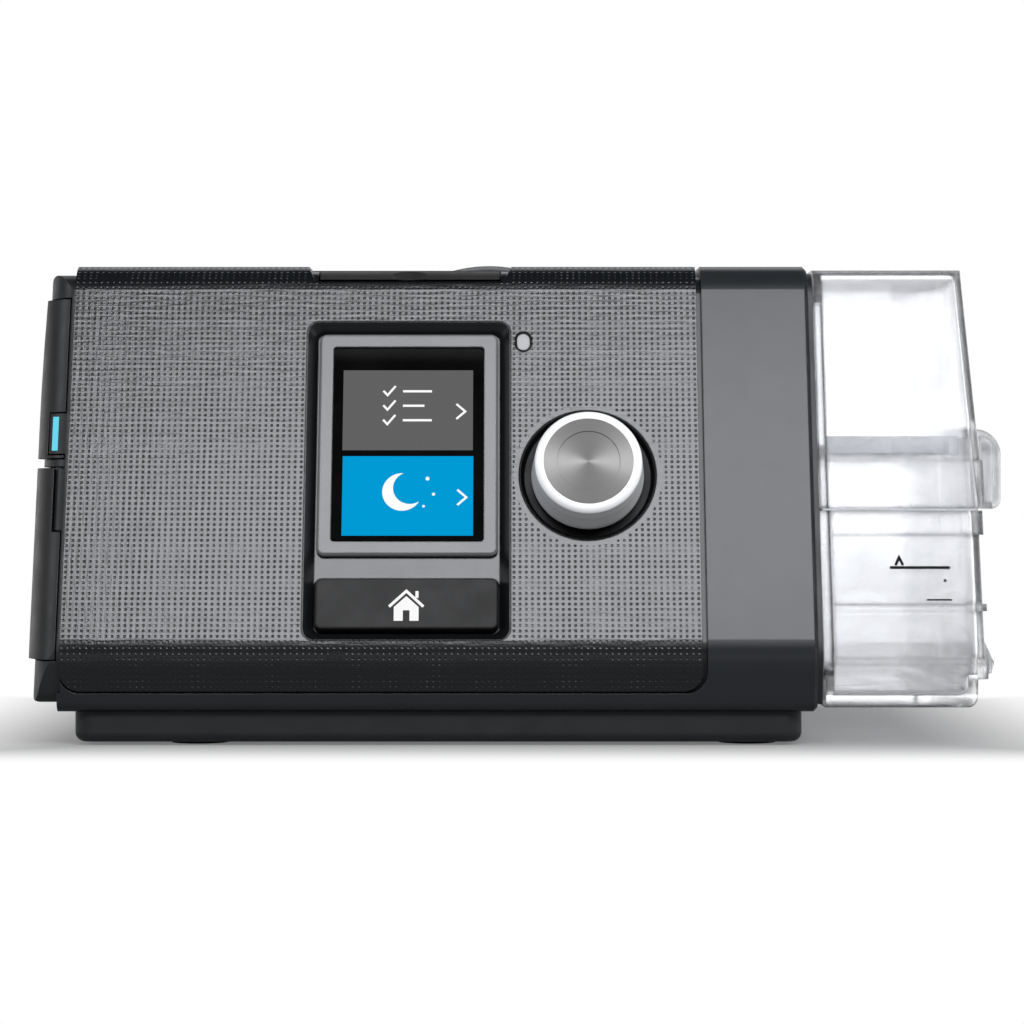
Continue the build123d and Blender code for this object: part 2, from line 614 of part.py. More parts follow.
def front_fascia():
    """Textured wrap over the sloped front, the top edge and the top."""
    body = case_slab(0, CASE_X, FASCIA_END_X) - case_slab(FASCIA_WALL, CASE_X - 1, FASCIA_END_X + 1)
    body &= fascia_region(0, 0)
    body -= screen_plate(RECESS_WIDTH, RECESS_LOW, RECESS_HEIGHT, -1, 2 * UNDER_LEDGE, RECESS_R)
    body -= face_disc(DIAL_X, DIAL_UP, WELL_D, -1, 2 * UNDER_LEDGE)
    body -= face_oval(SCREEN_X + SENSOR_FROM_SCREEN, SENSOR_UP, SENSOR_WIDTH, SENSOR_HEIGHT,
                      -1, 2 * UNDER_LEDGE)
    body -= scoop()
    body -= bar_opening(BAR_GAP, BAR_FOOT_GAP, BAR_GAP)
    return body


def base_chassis():
    """Plinth: a shallow tray that carries the case on its feet."""
    x0, x1 = CASE_X + PLINTH_LEFT_GAP, CASE_END_X - PLINTH_RIGHT_GAP
    y0, y1 = FRONT_Y + PLINTH_FRONT_GAP, REAR_Y - PLINTH_REAR_GAP
    body = block(x0, x1, y0, y1, FOOT_PROUD, PLINTH_HEIGHT)
    body = fillet(body.edges().filter_by(Axis.Z), 2 * PLINTH_R)
    body = fillet(body.faces().sort_by(Axis.Z)[0].edges(), PLINTH_R)
    hollow = block(x0 + PLINTH_WALL, x1 - PLINTH_WALL, y0 + PLINTH_WALL, y1 - PLINTH_WALL,
                   FOOT_PROUD + PLINTH_WALL, PLINTH_HEIGHT + 1)
    hollow = fillet(hollow.edges().filter_by(Axis.Z), PLINTH_R)
    for x, y in CASE_SCREWS:
        hollow -= rod("Z", x, y, 0, SCREW_BOSS_D, 2 * PLINTH_HEIGHT)
    for share in (1 / 3, 2 / 3):
        rib_x = x0 + (x1 - x0) * share
        hollow -= block(rib_x - 1, rib_x + 1, y0, y1, 0, 2 * PLINTH_HEIGHT)
    body -= hollow
    for x, y in CASE_SCREWS:
        body -= rod("Z", x, y, 0, SCREW_D + SCREW_CLEAR, 2 * PLINTH_HEIGHT)
        body -= rod("Z", x, y, 0, SCREW_HEAD_D + SCREW_CLEAR,
                    FOOT_PROUD + SCREW_HEAD + SCREW_SEAT_GAP)
    for x, y in FEET:
        body -= rod("Z", x, y, 0, FOOT_D, FOOT_PROUD + FOOT_SUNK)
    return body


def rear_cover():
    """Rear wall with the hood over the outlet, the outlet's well and the openings for the air
    filter and the power socket."""
    body = case_slab(0, CASE_X, CASE_END_X) & block(-FAR, FAR, SPLIT_Y, FAR, 0, FAR)
    end_edges = body.faces().sort_by(Axis.X)[-1].edges()
    body = chamfer(end_edges.filter_by(lambda edge: edge.center().Y > SPLIT_Y + EDGE_BREAK), EDGE_BREAK)
    crown_y = SPLIT_Y + HOOD_CROWN_FROM_SPLIT
    hood_arc = ThreePointArc((SPLIT_Y + 0.01, HOOD_START_R), (crown_y, OUTLET_FALL), (REAR_Y, HOOD_END_R))
    hood_side = make_face([hood_arc, Polyline((REAR_Y, HOOD_END_R), (REAR_Y, 0), (SPLIT_Y + 0.01, 0),
                                              (SPLIT_Y + 0.01, HOOD_START_R))])
    hood = revolve(Plane.YZ * hood_side, Axis((0, 0, 0), (0, 1, 0)))
    body += Pos(OUTLET_X, 0, OUTLET_Z) * hood & block(-FAR, FAR, SPLIT_Y, FAR, OUTLET_Z, FAR)
    body -= case_slab(CASE_WALL, CASE_X - 1, CASE_END_X + 1)
    well_y = REAR_Y - OUTLET_WELL_DEPTH
    body += rod("Y", OUTLET_X, well_y - CASE_WALL, OUTLET_Z, OUTLET_WELL_D + 2 * CASE_WALL,
                OUTLET_WELL_DEPTH + CASE_WALL)
    body -= rod("Y", OUTLET_X, well_y, OUTLET_Z, OUTLET_WELL_D, OUTLET_WELL_DEPTH + OUTLET_REACH)
    body -= rod("Y", OUTLET_X, well_y - 2 * CASE_WALL, OUTLET_Z, OUTLET_D + 2 * PORT_HOLE_GAP,
                3 * CASE_WALL)
    body -= filter_door_space(DOOR_GAP, 2 * CASE_WALL)
    body -= rod("Z", FILTER_HINGE_X, FILTER_HINGE_Y, FILTER_DOOR_Z0 - PIN_SEAT, PIN_D,
                FILTER_DOOR_Z1 - FILTER_DOOR_Z0 + 2 * PIN_SEAT)
    body -= rod("Z", FILTER_HINGE_X, FILTER_HINGE_Y, FILTER_DOOR_Z0 - DOOR_GAP,
                CASE_WALL + 2 * DOOR_GAP, FILTER_DOOR_Z1 - FILTER_DOOR_Z0 + 2 * DOOR_GAP)
    body -= block(SOCKET_X - SOCKET_WIDTH / 2, SOCKET_X + SOCKET_WIDTH / 2, REAR_Y - 5, REAR_Y + 1,
                  SOCKET_Z - SOCKET_HEIGHT / 2, SOCKET_Z + SOCKET_HEIGHT / 2)
    for side in (-1, 1):
        half = CLIP_EAR / 2
        ear = block(-CLIP_EAR_THICK / 2, CLIP_EAR_THICK / 2, REAR_Y - CASE_WALL / 2, CLIP_Y + half,
                    CLIP_Z - half, CLIP_Z + half)
        body += Pos(SOCKET_X + side * (CLIP_SPAN / 2 + CLIP_EAR_GAP + CLIP_EAR_THICK / 2), 0, 0) * ear
    body -= rod("X", SOCKET_X - CLIP_SPAN, CLIP_Y, CLIP_Z, CLIP_PIN_D, 2 * CLIP_SPAN)
    return body


def filter_door_space(gap, depth):
    """Space of the filter cover in the rear wall, shut and standing open."""
    low, top = FILTER_DOOR_Z0 - gap, FILTER_DOOR_Z1 + gap
    space = block(FILTER_HINGE_X, FILTER_DOOR_X1 + gap, REAR_Y - depth, REAR_Y + 1, low, top)
    return space + block(FILTER_HINGE_X - CASE_WALL / 2 - gap, FILTER_HINGE_X, FILTER_HINGE_Y,
                         REAR_Y + 1, low, top)


def filter_cover():
    """Snap-shut cover over the air filter, hinged at its outer edge, with intake slots."""
    body = block(FILTER_HINGE_X, FILTER_DOOR_X1, REAR_Y - CASE_WALL, REAR_Y, FILTER_DOOR_Z0, FILTER_DOOR_Z1)
    body += rod("Z", FILTER_HINGE_X, FILTER_HINGE_Y, FILTER_DOOR_Z0, CASE_WALL,
                FILTER_DOOR_Z1 - FILTER_DOOR_Z0)
    pitch = FILTER_HEIGHT / (FILTER_SLOTS + 1)
    half = FILTER_SLOT_HEIGHT / 2
    for i in range(FILTER_SLOTS):
        z = FILTER_DOOR_Z0 + pitch * (i + 1)
        body -= block(FILTER_HINGE_X + FILTER_SLOT_LEFT, FILTER_DOOR_X1 - FILTER_SLOT_RIGHT,
                      REAR_Y - 2 * CASE_WALL, REAR_Y + 1, z - half, z + half)
    body -= rod("Z", FILTER_HINGE_X, FILTER_HINGE_Y, FILTER_DOOR_Z0 - 1, PIN_D + 2 * RUN_GAP,
                FILTER_DOOR_Z1 - FILTER_DOOR_Z0 + 2)
    return body


# ================================================================ sloped face
def display_surround():
    """Dark recess round the screen: sloped walls, a floor with two windows, and a hidden flange."""
    body = screen_plate(RECESS_WIDTH - 2 * FIT, RECESS_LOW + FIT, RECESS_HEIGHT - 2 * FIT, 0,
                        UNDER_LEDGE + FIT, RECESS_R - FIT)
    flange = screen_plate(RECESS_WIDTH + 2 * SURROUND_FLANGE, RECESS_LOW - SURROUND_FLANGE,
                          RECESS_HEIGHT + 2 * SURROUND_FLANGE, UNDER_LEDGE, SURROUND_BACK, RECESS_R)
    body += flange & case_slab(UNDER_LEDGE, CASE_X, SLEEVE_X)
    middle = RECESS_LOW + RECESS_HEIGHT / 2
    mouth = FACE.location * Pos(SCREEN_X, middle, 0) * RectangleRounded(
        RECESS_WIDTH - 2 * RECESS_LAND, RECESS_HEIGHT - 2 * RECESS_LAND, RECESS_R - RECESS_LAND)
    floor = FACE.location * Pos(SCREEN_X, middle, -RECESS_DEPTH) * RectangleRounded(
        RECESS_WIDTH - 2 * RECESS_SLOPE, RECESS_HEIGHT - 2 * RECESS_SLOPE, RECESS_R / 2)
    body -= loft([floor, mouth])
    body -= screen_plate(RECESS_WIDTH - 2 * SURROUND_WALL, RECESS_LOW + SURROUND_WALL,
                         RECESS_HEIGHT - 2 * SURROUND_WALL, RECESS_DEPTH + SURROUND_FLOOR,
                         SURROUND_BACK + 1)
    body -= screen_plate(LCD_WIDTH + 2 * GLASS_GAP, LCD_LOW - GLASS_GAP, LCD_HEIGHT + 2 * GLASS_GAP, 0, 10)
    body -= screen_plate(BUTTON_WIDTH + 2 * BUTTON_GAP, BUTTON_LOW - BUTTON_GAP,
                         BUTTON_HEIGHT + 2 * BUTTON_GAP, 0, 10, BUTTON_R + BUTTON_GAP)
    for side in (-1, 1):
        x = SCREEN_X + side * (RECESS_WIDTH / 2 - SURROUND_FLANGE)
        for up in (RECESS_LOW + SURROUND_POST_LOW, RECESS_LOW + RECESS_HEIGHT - SURROUND_POST_HIGH):
            body += face_disc(x, up, SURROUND_POST_D, UNDER_LEDGE + 1, BOARD_DEPTH)
    return body


def screen_bezel():
    """Silver frame round the glass, standing on the recess floor."""
    body = screen_plate(BEZEL_WIDTH, BEZEL_LOW, BEZEL_HEIGHT, RECESS_DEPTH - BEZEL_THICK,
                        RECESS_DEPTH, BEZEL_R)
    front = body.faces().sort_by(lambda face: face.center().dot(OUTWARD))[-1]
    body = chamfer(front.edges(), BEZEL_EDGE)
    return body - screen_plate(GLASS_WIDTH, GLASS_LOW, GLASS_HEIGHT, 0, 10, BEZEL_R / 2)


def screen_glass():
    return screen_plate(GLASS_WIDTH - 2 * GLASS_GAP, GLASS_LOW + GLASS_GAP, GLASS_HEIGHT - 2 * GLASS_GAP,
                        GLASS_DEPTH, RECESS_DEPTH, BEZEL_R / 2)


def lcd_module():
    return screen_plate(LCD_WIDTH, LCD_LOW, LCD_HEIGHT, RECESS_DEPTH, BOARD_DEPTH)


def display_board():
    """Circuit board behind the sloped face, with the home button's switch."""
    top = BEZEL_LOW + BEZEL_HEIGHT + BOARD_TOP_MARGIN
    body = face_plate(SCREEN_X - RECESS_WIDTH / 2 - 2, DIAL_X + ENCODER_SIZE, RECESS_LOW - BOARD_LOW_MARGIN,
                      top, BOARD_DEPTH, BOARD_DEPTH + BOARD_THICK, BOARD_R)
    body += screen_plate(SWITCH_SIZE, BUTTON_MIDDLE - SWITCH_SIZE / 2, SWITCH_SIZE, SWITCH_DEPTH,
                         BOARD_DEPTH)
    slot_low, slot_half = top - BOARD_SLOT_DOWN, LCD_WIDTH / 4
    return body - face_plate(SCREEN_X - slot_half, SCREEN_X + slot_half, slot_low,
                             slot_low + BOARD_SLOT_HEIGHT, 0, BOARD_DEPTH + 2 * BOARD_THICK, 1)


def home_button():
    """Wide button below the screen, with a hidden flange and a stem to its switch."""
    body = screen_plate(BUTTON_WIDTH, BUTTON_LOW, BUTTON_HEIGHT, BUTTON_DEPTH, BUTTON_BACK, BUTTON_R)
    front = body.faces().sort_by(lambda face: face.center().dot(OUTWARD))[-1]
    body = fillet(front.edges(), BUTTON_EDGE)
    body += screen_plate(BUTTON_WIDTH + 2 * BUTTON_FLANGE, BUTTON_LOW - BUTTON_FLANGE,
                         BUTTON_HEIGHT + 2 * BUTTON_FLANGE, BUTTON_BACK,
                         BUTTON_BACK + BUTTON_FLANGE_THICK, BUTTON_R)
    body -= screen_plate(BUTTON_WIDTH - 2 * BUTTON_WALL, BUTTON_LOW + BUTTON_WALL,
                         BUTTON_HEIGHT - 2 * BUTTON_WALL, BUTTON_DEPTH + BUTTON_WALL, BUTTON_BACK + 2)
    body += face_disc(SCREEN_X, BUTTON_MIDDLE, BUTTON_STEM_D, BUTTON_DEPTH + 1,
                      SWITCH_DEPTH - BUTTON_TRAVEL - FIT)
    return body


def sensor_ring():
    x = SCREEN_X + SENSOR_FROM_SCREEN
    ring = face_oval(x, SENSOR_UP, SENSOR_WIDTH - 2 * FIT, SENSOR_HEIGHT - 2 * FIT, FIT,
                     UNDER_LEDGE - 2 * FIT)
    return ring - face_oval(x, SENSOR_UP, SENSOR_WIDTH - 2 * SENSOR_RIM,
                            SENSOR_HEIGHT - 2 * SENSOR_RIM, -1, 10)


def sensor_lens():
    """Light pipe from the window down to the board."""
    rim = 2 * SENSOR_RIM + FIT
    return face_oval(SCREEN_X + SENSOR_FROM_SCREEN, SENSOR_UP, SENSOR_WIDTH - rim, SENSOR_HEIGHT - rim,
                     3 * FIT, BOARD_DEPTH)


# ================================================================ dial
def dial_well():
    """Dark cup round the knob, held by a flange behind the case's ledge."""
    body = face_disc(DIAL_X, DIAL_UP, WELL_D - 2 * WELL_FIT, 0, UNDER_LEDGE + FIT)
    flange = face_disc(DIAL_X, DIAL_UP, WELL_D + 2 * WELL_FLANGE, UNDER_LEDGE, UNDER_LEDGE + 1)
    surround_edge = SCREEN_X + RECESS_WIDTH / 2 + SURROUND_FLANGE
    body += flange & block(surround_edge + WELL_FIT, FAR, -FAR, FAR, 0, FAR)
    mouth = Pos(0, 0, 0) * Circle(WELL_D / 2 - WELL_LAND)
    floor = Pos(0, 0, -WELL_DEPTH) * Circle(WELL_D / 2 - WELL_RIM)
    body -= FACE.location * Pos(DIAL_X, DIAL_UP, 0) * loft([floor, mouth])
    body -= face_disc(DIAL_X, DIAL_UP, WELL_D - 2 * WELL_WALL, WELL_DEPTH + WELL_FLOOR, 10)
    return body - face_disc(DIAL_X, DIAL_UP, SHAFT_D + 6 * RUN_GAP, -1, 10)


def dial_ring():
    """Turned skirt of the knob, with a web and a hub for the shaft."""
    web_top = DIAL_TOP - CAP_THICK
    web_bottom = web_top - DIAL_WEB
    inner = DIAL_RIM_D / 2 - DIAL_WALL
    start, end = (DIAL_RIM_D / 2, DIAL_TOP - DIAL_RIM_DROP), (DIAL_CAP_D / 2, DIAL_TOP)
    rim = ThreePointArc(start, ((start[0] * 2 + end[0]) / 3, DIAL_TOP - DIAL_RIM_DROP * 0.28), end)
    rest = Polyline(end, (DIAL_CAP_D / 2, web_top), (SHAFT_D / 2, web_top), (SHAFT_D / 2, DIAL_FOOT),
                    (HUB_D / 2, DIAL_FOOT), (HUB_D / 2, web_bottom), (inner, web_bottom),
                    (inner, DIAL_FOOT), (DIAL_D / 2, DIAL_FOOT), start)
    side = Plane.XZ * make_face([rim, rest])
    return FACE.location * Pos(DIAL_X, DIAL_UP, 0) * revolve(side, Axis.Z)


def dial_cap():
    """Spun metal disc on the knob, with a shallow centre."""
    body = Pos(0, 0, DIAL_TOP - CAP_THICK / 2) * Cylinder(DIAL_CAP_D / 2, CAP_THICK)
    body -= Pos(0, 0, DIAL_TOP) * Cylinder(DIAL_CENTRE_D / 2, 2 * DISH_SINK)
    return FACE.location * Pos(DIAL_X, DIAL_UP, 0) * body


def dial_shaft():
    return face_disc(DIAL_X, DIAL_UP, SHAFT_D, CAP_THICK - DIAL_TOP, PLUNGER_DEPTH - FIT)


def encoder_body():
    half = ENCODER_SIZE / 2
    body = face_plate(DIAL_X - half, DIAL_X + half, DIAL_UP - half, DIAL_UP + half,
                      WELL_DEPTH + WELL_FLOOR + 2 * FIT, BOARD_DEPTH, 1)
    return body - face_disc(DIAL_X, DIAL_UP, SHAFT_D + 2 * RUN_GAP, 0, BOARD_DEPTH + 1)


def encoder_plunger():
    return face_disc(DIAL_X, DIAL_UP, SHAFT_D - 0.6, PLUNGER_DEPTH, PLUNGER_DEPTH + 1)


# ================================================================ start bar
def start_button():
    """Bar that follows the top front edge, with a finger dish and a stem."""
    body = case_slab(SCOOP_DEPTH, CASE_X, CASE_END_X)
    body -= case_slab(SCOOP_DEPTH + BAR_WALL, CASE_X - 1, CASE_END_X + 1)
    body &= bar_opening(0, 0, 0)
    slope, rise = radians(FACE_TILT), radians(TOP_RISE)
    inward = Vector(0, cos(slope) + sin(rise), -sin(slope) - cos(rise))
    corner = Vector(SCREEN_X, TOP_FRONT_Y, TOP_FRONT_Z)
    centre = corner + inward * (TOP_FRONT_R / (1 + cos(slope) * sin(rise) + sin(slope) * cos(rise)))
    stand = TOP_FRONT_R - SCOOP_DEPTH + (DISH_R ** 2 - (DISH_D / 2) ** 2) ** 0.5
    dish = centre - inward.normalized() * stand
    body -= Pos(dish.X, dish.Y, dish.Z) * Sphere(DISH_R)
    foot = SWITCH_Z + BOARD_THICK + SWITCH_HEIGHT + BAR_TRAVEL + FIT
    stem = rod("Z", SCREEN_X, SWITCH_Y, foot, BAR_STEM_D, FAR)
    return body + (stem & case_slab(SCOOP_DEPTH + BAR_WALL / 2, CASE_X, CASE_END_X))


def start_switch_board():
    reach = SWITCH_POST_X[1] - SCREEN_X + SWITCH_BOARD_MARGIN
    half, top = SWITCH_SIZE / 2, SWITCH_Z + BOARD_THICK
    body = block(SCREEN_X - reach, SCREEN_X + reach, SWITCH_Y - SWITCH_BOARD_WIDTH / 2,
                 SWITCH_Y + SWITCH_BOARD_WIDTH / 2, SWITCH_Z, top)
    return body + block(SCREEN_X - half, SCREEN_X + half, SWITCH_Y - half, SWITCH_Y + half,
                        top, top + SWITCH_HEIGHT)


# ================================================================ left end
def cap_body(inset, step=CAP_STEP):
    """Solid of the left end, its front corner swept back along the sloped face."""
    slab = case_slab(CAP_SETBACK + inset, CAP_X + step + inset, CASE_X, CAP_EDGE_R - inset + 0.3)
    slab = fillet(slab.faces().sort_by(Axis.X)[0].edges(), CAP_EDGE_R - inset)
    across = CAP_DEPTH - step + SWEEP_EASE - inset
    back = CAP_SWEEP + SWEEP_EASE - inset
    section = Plane(origin=FACE.origin, x_dir=(1, 0, 0), z_dir=UPWARD)
    turn = CAP_SETBACK + CAP_SWEEP
    outline = Pos(CASE_X, turn) * Ellipse(across, back)
    outline += Pos(CASE_X, turn + FAR / 2) * Rectangle(2 * across, FAR)
    return slab & extrude(section * outline, amount=FAR, both=True)


def cap_shell():
    return cap_body(0) - (cap_body(CAP_WALL) & block(-FAR, CAP_INNER_X, -FAR, FAR, 0, FAR))


def door_body(inset):
    """Solid that the end doors are cut from, its outer face bowed."""
    bow = Pos(CAP_X + DOOR_BOW_R, 0, DOOR_BOW_Z) * Rot(90, 0, 0) * Cylinder(DOOR_BOW_R - inset, 2 * FAR)
    return cap_body(inset, 0) & bow


def door_shell():
    return door_body(0) - door_body(CAP_WALL)


def door_space(low, top, gap):
    """Space of an end door: everything in front of its hinge line, a rebate along the fascia, and
    the room beside the hinge that the open door takes."""
    z0, z1 = low - gap, top + gap
    deep = CAP_SETBACK + CAP_WALL + BULKHEAD / 2 + gap
    rim = case_slab(0, CAP_X, CASE_X) - case_slab(deep, CAP_X - 1, CASE_X + 1)
    space = block(-FAR, CAP_INNER_X - gap, -FAR, DOOR_BACK_Y, z0, z1)
    space += rim & block(CAP_X, CASE_X - DOOR_STRIP, -FAR, DOOR_BACK_Y, z0, z1)
    swing = CAP_STEP + CAP_WALL / 2 + gap
    space += block(-FAR, DOOR_HINGE_X + gap, DOOR_BACK_Y - 1, DOOR_BACK_Y + swing, z0, z1)
    return space + rod("Z", DOOR_HINGE_X, DOOR_BACK_Y, z0, CAP_WALL + 2 * gap, z1 - z0)


def led_space(rim, x1):
    """Room of the status light and of its rim."""
    return block(LED_X - rim, x1, -FAR, 0, LED_Z - rim, LED_Z + LED_HEIGHT + rim)


def notch_space(gap):
    """Finger notch in the card door's front edge."""
    return block(NOTCH_X - gap, CASE_X, -FAR, 0, NOTCH_Z - gap, ADAPTER_DOOR_Z - DOOR_GAP)


def left_end_cap():
    """End cover with a bulkhead behind its two door openings, the light's rim and the notch's floor."""
    body = cap_shell()
    inside = cap_body(CAP_WALL + 0.01) & block(-FAR, CAP_INNER_X, -FAR, FAR, 0, FAR)
    for low, top in ((ADAPTER_DOOR_Z, ADAPTER_DOOR_TOP), (CARD_DOOR_Z, CARD_DOOR_TOP)):
        body -= door_space(low, top, DOOR_GAP)
        body -= rod("Z", DOOR_HINGE_X, DOOR_BACK_Y, low - PIN_SEAT, PIN_D, top - low + 2 * PIN_SEAT)
    body -= rod("X", CASE_X - 2 * BULKHEAD, ADAPTER_PORT_Y, ADAPTER_PORT_Z, ADAPTER_PORT_D, 3 * BULKHEAD)
    half_y, half_z = CARD_THICK / 2 + CARD_GAP, CARD_WIDTH / 2 + CARD_GAP
    body -= block(CASE_X - 2 * BULKHEAD, CASE_X + 1, CARD_Y - half_y, CARD_Y + half_y,
                  CARD_Z - half_z, CARD_Z + half_z)
    body -= inside
    body += door_shell() & led_space(LED_RIM, CASE_X)
    body += (door_body(NOTCH_DEPTH) - door_body(CAP_WALL)) & notch_space(0)
    return body - led_space(0, LED_X + LED_WIDTH)


def end_door(low, top):
    """Door that wraps the front corner, with its hinge leaf and barrel at the rear edge."""
    body = door_shell() & block(-FAR, CASE_X - DOOR_STRIP - DOOR_GAP, -FAR, DOOR_BACK_Y, low, top)
    body += door_body(0) & block(-FAR, DOOR_HINGE_X + CAP_WALL / 2, DOOR_BACK_Y - HINGE_LEAF, DOOR_BACK_Y,
                                 low, top)
    body += rod("Z", DOOR_HINGE_X, DOOR_BACK_Y, low, CAP_WALL, top - low)
    return body - rod("Z", DOOR_HINGE_X, DOOR_BACK_Y, low - 1, PIN_D + 2 * RUN_GAP, top - low + 2)


def adapter_cover():
    return end_door(ADAPTER_DOOR_Z, ADAPTER_DOOR_TOP) - led_space(LED_RIM + DOOR_GAP, CASE_X)


def sd_card_cover():
    return end_door(CARD_DOOR_Z, CARD_DOOR_TOP) - notch_space(DOOR_GAP)


def led_light_pipe():
    """Status light beside the end cover, seated in its rim."""
    return door_shell() & led_space(0, LED_X + LED_WIDTH)


def adapter_port():
    """Socket behind the upper door, closed by its own plug face."""
    x0, bore = CAP_INNER_X - ADAPTER_PORT_PROUD, ADAPTER_PORT_D - 2 * ADAPTER_PORT_WALL
    body = tube("X", x0, ADAPTER_PORT_Y, ADAPTER_PORT_Z, ADAPTER_PORT_D, bore, ADAPTER_PORT_LENGTH)
    return body + rod("X", x0 + ADAPTER_FACE_DEPTH, ADAPTER_PORT_Y, ADAPTER_PORT_Z,
                      bore + ADAPTER_PORT_WALL, ADAPTER_PORT_WALL)


def sd_card():
    x0 = CAP_INNER_X - CARD_PROUD
    body = block(x0, x0 + CARD_LENGTH, CARD_Y - CARD_THICK / 2, CARD_Y + CARD_THICK / 2,
                 CARD_Z - CARD_WIDTH / 2, CARD_Z + CARD_WIDTH / 2)
    corner = body.edges().filter_by(Axis.Y).group_by(Axis.X)[-1].sort_by(Axis.Z)[-1]
    return chamfer(corner, CARD_CORNER)


def sd_card_reader():
    end = CAP_INNER_X - CARD_PROUD + CARD_LENGTH + CARD_TRAVEL + CARD_GAP
    half_y, half_z = CARD_THICK / 2 + CARD_GAP, CARD_WIDTH / 2 + CARD_GAP
    body = block(CASE_X, end + READER_END, CARD_Y - half_y - READER_WALL, CARD_Y + half_y + READER_WALL,
                 CARD_Z - half_z - READER_END, CARD_Z + half_z + READER_END)
    return body - block(CASE_X - 1, end, CARD_Y - half_y, CARD_Y + half_y, CARD_Z - half_z, CARD_Z + half_z)


def hinge_pins():
    """Pins of the end doors and of the filter cover."""
    spans = [(CARD_DOOR_Z - PIN_SEAT, CARD_DOOR_Z + PIN_GRIP),
             (CARD_DOOR_TOP - PIN_GRIP, ADAPTER_DOOR_Z + PIN_GRIP),
             (ADAPTER_DOOR_TOP - PIN_GRIP, ADAPTER_DOOR_TOP + PIN_SEAT)]
    pins = [rod("Z", DOOR_HINGE_X, DOOR_BACK_Y, z0, PIN_D, z1 - z0) for z0, z1 in spans]
    for z0 in (FILTER_DOOR_Z0 - PIN_SEAT, FILTER_DOOR_Z1 - PIN_GRIP):
        pins.append(rod("Z", FILTER_HINGE_X, FILTER_HINGE_Y, z0, PIN_D, PIN_GRIP + PIN_SEAT))
    return Compound(children=pins)


# ================================================================ humidifier bay
def bay_liner():
    """Open-ended bay for the tub: walls, an end wall with two air ports, and a proud mouth."""
    body = case_slab(LINER_INSET, LINER_X, MOUTH_X) + case_slab(MOUTH_INSET, CASE_END_X, MOUTH_X)
    body -= case_slab(BAY_INSET, BAY_X, MOUTH_X + 1)
    for y, z in ((AIR_IN_Y, AIR_IN_Z), (AIR_OUT_Y, OUTLET_Z)):
        body -= rod("X", LINER_X - 1, y, z, PORT_D, LINER_WALL + 2)
    return body - heater_space(HEATER_GAP, 0, HEATER_TOP_Z + 1)


def heater_space(gap, low, top):
    return block(BAY_X + 4 - gap, CASE_END_X - 3 + gap, HEATER_Y - HEATER_WIDTH / 2 - gap,
                 HEATER_Y + HEATER_WIDTH / 2 + gap, low, top)


def heater_plate():
    return heater_space(0, HEATER_TOP_Z - HEATER_THICK, HEATER_TOP_Z)


def heater_foam():
    return heater_space(-2, FLOOR_Z, HEATER_TOP_Z - HEATER_THICK)


def port_seals():
    rings = [tube("X", BAY_X, y, z, PORT_D + 2 * PORT_SEAL, PORT_D, BAY_END_GAP - 0.2)
             for y, z in ((AIR_IN_Y, AIR_IN_Z), (AIR_OUT_Y, OUTLET_Z))]
    return Compound(children=rings)


# ================================================================ water tub
def level(low, top):
    """Everything between two heights."""
    return block(-FAR, FAR, -FAR, FAR, low, top)


def tub_slab(inset, x0, x1, corner, low, top):
    """Slice of the tub with its free end rounded, between two heights."""
    slab = case_slab(inset, x0, x1, corner + 0.3)
    slab = fillet(slab.faces().sort_by(Axis.X)[-1].edges(), corner)
    return slab & level(low, top)


def lid_slab(inset, x0, x1, corner):
    """Slice of the lid above the seal. Its free end leans in and has rounded upright edges."""
    lean = tan(radians(LID_LEAN))
    foot_x = x1 + SKIRT_HEIGHT * lean
    side = FAR / 2
    body = case_slab(inset, x0, foot_x) & level(LID_Z, FAR)
    on_face = FACE.origin + UPWARD * ((LID_Z - FACE_Z) / UPWARD.Z)
    front = Plane(origin=on_face, x_dir=(1, 0, 0), z_dir=UPWARD)
    section = front * Pos(foot_x - side, inset + side) * RectangleRounded(FAR, FAR, corner)
    body &= extrude(section, amount=FAR, dir=Vector(-lean, UPWARD.Y / UPWARD.Z, 1))
    plan = Pos(foot_x - side, REAR_Y - inset - side, LID_Z) * RectangleRounded(FAR, FAR, corner)
    return body & extrude(plan, amount=FAR, dir=Vector(-lean, 0, 1))


